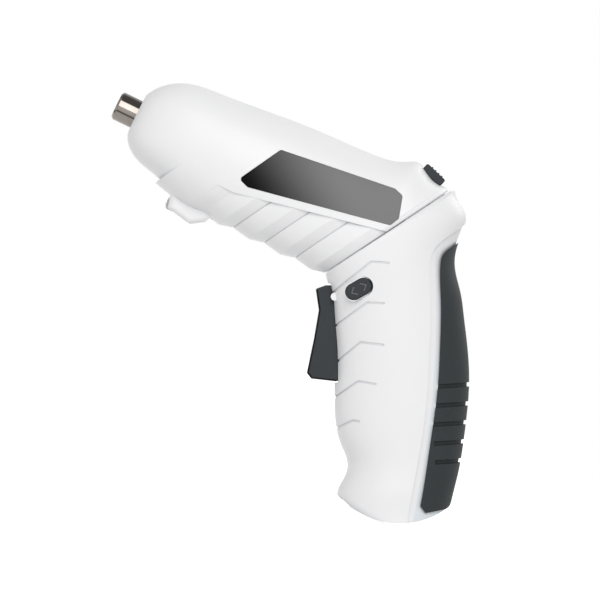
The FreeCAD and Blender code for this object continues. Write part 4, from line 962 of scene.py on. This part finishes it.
@dataclass
class SeamWasher:
    """Flat washer in the seam that closes the view between barrel and handle."""
    half_width: float = 22.0 * MM
    rise: float = 26.5 * MM
    drop: float = 24.2 * MM
    inset: float = 2.2 * MM
    bore_share: float = 0.6
    half_thickness: float = 0.11 * MM
    exponent: float = 2.35
    steps: int = 96

    def build(self) -> None:
        """Makes the washer."""
        corners = ((self.bore_share, -1.0), (1.0, -1.0), (1.0, 1.0), (self.bore_share, 1.0))
        rings = []
        for step in range(self.steps):
            angle = 2 * math.pi * step / self.steps
            edge = self.edge_point(math.cos(angle), math.sin(angle))
            rings.append([SWIVEL_CENTRE + edge * share + SEAM_NORMAL * self.half_thickness * side
                          for share, side in corners])
        form = Form()
        form.skin(rings, loop=True)
        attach(form.piece("seam_washer", Finishes.SHELL), "barrel")

    def edge_point(self, across: float, upward: float) -> Vector:
        """Point of the washer's edge.

        Args:
            across: sideways part of its direction.
            upward: upward part of its direction.

        Returns:
            The point from the swivel centre, in the seam's plane.
        """
        power = 2 / self.exponent
        limit = (self.rise if upward > 0 else self.drop) - self.inset
        high = math.copysign(abs(upward) ** power, upward) * limit
        wide = math.copysign(abs(across) ** power, across) * (self.half_width - self.inset)
        return Vector((high * math.tan(RAKE / 2), wide, high))


@dataclass
class Barrel:
    """Barrel shells with what shows on them."""
    button_top: Point = (120.3 * MM, 0.0, 30.3 * MM)
    button_slope: float = math.radians(17.7)
    ridge_places: Tuple[float, ...] = (-2.2 * MM, -0.6 * MM, 1.0 * MM, 2.6 * MM)
    ridge_half_length: float = 4.4 * MM
    ridge_width: float = 0.8 * MM
    ridge_height: float = 0.3 * MM
    spring_foot: float = -11.85 * MM
    spring_radius: float = 2.6 * MM
    spring_length: float = 4.9 * MM
    spring_keep: float = 0.65
    lens_radii: Tuple[float, ...] = (0.5 * MM, 0.95 * MM, 1.4 * MM)
    lens_width: float = 0.16 * MM
    lens_steps: int = 32

    def build(self) -> None:
        """Makes the barrel's small pieces."""
        Screws("barrel_screws", "barrel").build()
        SeamWasher().build()
        LatchLeaf().build()
        outward = Vector((math.sin(self.button_slope), 0.0, math.cos(self.button_slope)))
        foot = Vector(self.button_top) + outward * self.spring_foot
        Coil("lock_spring", "barrel", "lock_press", foot, outward, self.spring_radius, self.spring_length,
             self.spring_keep).build()
        self.make_ridges(outward)
        self.make_lens_rings()

    def make_ridges(self, outward: Vector) -> None:
        """Makes the thumb ridges across the lock button.

        Args:
            outward: the direction that the button's top faces.
        """
        form = Form()
        back = Vector((outward.z, 0.0, -outward.x))
        reach = SIDEWAYS * self.ridge_half_length
        for place in self.ridge_places:
            middle = Vector(self.button_top) + back * place
            form.strip([middle - reach, middle + reach], outward, self.ridge_width, self.ridge_height)
        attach(form.piece("lock_button_ridges", Finishes.CONTROL), "lock_button")

    def make_lens_rings(self) -> None:
        """Focusing rings on the front of the lamp lens."""
        form = Form()
        low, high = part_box("lamp_lens")
        middle = Vector((low[0], (low[1] + high[1]) / 2, (low[2] + high[2]) / 2))
        half = self.lens_width / 2
        for radius in self.lens_radii:
            rings = []
            for step in range(self.lens_steps):
                angle = 2 * math.pi * step / self.lens_steps
                ray = Vector((0.0, math.cos(angle), math.sin(angle)))
                rings.append([middle + ray * (radius + out) + Vector((along, 0.0, 0.0))
                              for out, along in ((-half, half), (0.0, -half), (half, half))])
            form.skin(rings, loop=True)
        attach(form.piece("lamp_lens_rings", Finishes.LENS), "barrel")

    def dress(self) -> None:
        """Gives the outer pieces their finishes."""
        for node in ("barrel_shell_left", "barrel_shell_right"):
            dress(node, Finishes.SHELL)
        for node in ("side_panel_left", "side_panel_right"):
            dress(node, Finishes.PANEL)
        dress("lamp_lens", Finishes.LENS)
        dress("bit_holder", Finishes.PLATED)
        dress("lock_button", Finishes.CONTROL)


@dataclass
class Handle:
    """Handle shells with grip, controls and what they hold."""
    bar_slope: float = math.radians(56.0)
    mark_tip: float = 3.1 * MM
    mark_foot: float = 1.3 * MM
    mark_half_height: float = 1.6 * MM
    mark_width: float = 0.55 * MM
    mark_height: float = 0.15 * MM
    spring_seat: Span = (-6.8 * MM, 50.0 * MM)
    spring_radius: float = 2.2 * MM
    spring_length: float = 7.38 * MM
    spring_keep: float = 0.44
    tongue_back: float = -5.25 * MM
    tongue_half: float = 0.4 * MM
    tongue_end: float = 107.1 * MM
    contact_run: Span = (0.5 * MM, 3.6 * MM)
    contact_pitch: float = 0.8 * MM
    contact_count: int = 7
    contact_width: float = 0.42 * MM
    contact_height: float = 0.06 * MM

    def build(self) -> None:
        """Makes the handle's small pieces."""
        Screws("handle_screws", "handle").build()
        rearward, downward = self.spring_seat
        foot = SWIVEL_CENTRE + BACK_HANDLE * rearward + DOWN_HANDLE * downward
        Coil("trigger_spring", "handle", "trigger_pull", foot, -BACK_HANDLE, self.spring_radius,
             self.spring_length, self.spring_keep).build()
        self.make_direction_marks()
        self.make_contacts()

    def make_direction_marks(self) -> None:
        """Raised chevrons that point both ways on the two ends of the direction bar."""
        form = Form()
        low, high = (Vector(corner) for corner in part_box("direction_bar"))
        middle = (low + high) / 2
        along = Vector((math.cos(self.bar_slope), 0.0, math.sin(self.bar_slope)))
        upward = Vector((-along.z, 0.0, along.x))
        for side, end in ((-1.0, low.y), (1.0, high.y)):
            face = Vector((middle.x, end, middle.z))
            for way in (-1.0, 1.0):
                foot = face + along * self.mark_foot * way
                path = [foot + upward * self.mark_half_height, face + along * self.mark_tip * way,
                        foot - upward * self.mark_half_height]
                form.strip(path, SIDEWAYS * side, self.mark_width, self.mark_height)
        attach(form.piece("direction_marks", Finishes.MARK), "direction_bar")

    def make_contacts(self) -> None:
        """Contact strips on both faces of the charge socket's tongue."""
        form = Form()
        for side in (-1.0, 1.0):
            root = SWIVEL_CENTRE + BACK_HANDLE * (self.tongue_back + self.tongue_half * side)
            for number in range(self.contact_count):
                foot = root + SIDEWAYS * self.contact_pitch * (number - (self.contact_count - 1) / 2)
                path = [foot + DOWN_HANDLE * (self.tongue_end - run) for run in self.contact_run]
                form.strip(path, BACK_HANDLE * side, self.contact_width, self.contact_height)
        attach(form.piece("charge_contacts", Finishes.CONTACT), "handle")

    def dress(self) -> None:
        """Gives the handle's pieces their finishes."""
        for node in ("handle_shell_left", "handle_shell_right"):
            dress(node, Finishes.HANDLE)
        dress("back_grip", Finishes.GRIP)
        dress("trigger", Finishes.TRIGGER)
        dress("direction_bar", Finishes.CONTROL)
        dress("trigger_pin", Finishes.SHELL)
        for node in ("battery_tabs", "charge_socket"):
            dress(node, Finishes.STEEL)
        dress("battery_cell", Finishes.WRAP)
        dress("control_board", Finishes.BOARD)
        for node in ("board_parts", "trigger_switch", "direction_switch"):
            dress(node, Finishes.CHIP)
        dress("handle_leads", Finishes.LEAD)


@dataclass(frozen=True)
class SoftBox:
    """Lamp that faces the tool: its place and size in metres, and its power in watts."""
    name: str
    place: Point
    size: Span
    power: float

    def build(self, target: Vector) -> None:
        """Makes the lamp.

        Args:
            target: the point that it faces.
        """
        data = bpy.data.lights.new(self.name, "AREA")
        data.shape = "RECTANGLE"
        data.size, data.size_y = self.size
        data.energy = self.power
        lamp = bpy.data.objects.new(self.name, data)
        bpy.context.scene.collection.objects.link(lamp)
        lamp.location = self.place
        lamp.rotation_mode = "QUATERNION"
        lamp.rotation_quaternion = (target - Vector(self.place)).to_track_quat("-Z", "Y")
        log.info("lamp %s", self.name)


@dataclass
class Studio:
    """Floor, light and camera."""
    centre: Point = (95.0 * MM, 0.0, -36.1 * MM)
    frame_width: float = 228.0 * MM
    lens: float = 400.0
    sensor: float = 36.0
    roll: float = math.radians(26.0)
    floor_size: float = 12.0
    floor_glow: float = 0.85
    floor_levels: Span = (0.80, 0.78)
    floor_cloud: float = 50.0 * MM
    floor_roughness: float = 0.9
    surround: float = 0.48
    lamps: Tuple[SoftBox, ...] = (SoftBox("key", (0.0, -1.10, 0.50), (0.5, 1.0), 7.4),
                                  SoftBox("rim", (0.50, 0.60, 0.70), (0.7, 0.7), 2.5))

    def build(self) -> None:
        """Makes the whole stage."""
        self.make_camera()
        self.make_floor()
        self.make_world()
        for lamp in self.lamps:
            lamp.build(Vector(self.centre))

    def make_camera(self) -> None:
        """Places the camera at the tool's left side, rolled as the photo is."""
        data = bpy.data.cameras.new("camera")
        data.lens = self.lens
        data.sensor_width = self.sensor
        camera = bpy.data.objects.new("camera", data)
        bpy.context.scene.collection.objects.link(camera)
        right = Vector((math.cos(self.roll), 0, math.sin(self.roll)))
        upward = Vector((-math.sin(self.roll), 0, math.cos(self.roll)))
        backward = right.cross(upward)
        turn = Matrix((right, upward, backward)).transposed()
        distance = self.frame_width * self.lens / self.sensor
        camera.matrix_world = Matrix.Translation(Vector(self.centre) + backward * distance) @ turn.to_4x4()
        bpy.context.scene.camera = camera
        log.info("camera at %.3f m", distance)

    def make_floor(self) -> None:
        """Lays a pale floor under the tool that shows white with the tool's shadow on it."""
        low = CAD_BOX[0].z
        half = self.floor_size / 2
        mesh = bpy.data.meshes.new("floor")
        mesh.from_pydata([(-half, -half, low), (half, -half, low), (half, half, low), (-half, half, low)], [],
                         [(0, 1, 2, 3)])
        floor = bpy.data.objects.new("floor", mesh)
        bpy.context.scene.collection.objects.link(floor)
        graph = Graph(bpy.data.materials.new("floor"))
        pale, dull = [(level,) * 3 for level in self.floor_levels]
        mesh.materials.append(graph.surface(
            Base_Color=graph.mix(graph.noise(self.floor_cloud), pale, dull),
            Roughness=self.floor_roughness,
            Specular_IOR_Level=0.0,
            Emission_Color=graph.mix(graph.seen(), (0.0, 0.0, 0.0), (1.0, 1.0, 1.0)),
            Emission_Strength=self.floor_glow))
        log.info("floor at %.4f m", low)

    def make_world(self) -> None:
        """Even surrounding light that the camera sees as white."""
        graph = Graph(bpy.data.worlds.new("world"), "Background")
        bpy.context.scene.world = graph.surface(
            Color=graph.mix(graph.seen(), (self.surround,) * 3, (1.0, 1.0, 1.0)), Strength=1.0)


def main() -> None:
    """Builds the tool's looks and its stage."""
    logging.basicConfig(level=logging.INFO, format="%(name)s: %(message)s")
    bpy.context.scene.view_settings.view_transform = "Standard"
    barrel = Barrel()
    handle = Handle()
    Drive().dress()
    barrel.dress()
    handle.dress()
    barrel.build()
    handle.build()
    Studio().build()


if __name__ == "__main__":
    main()
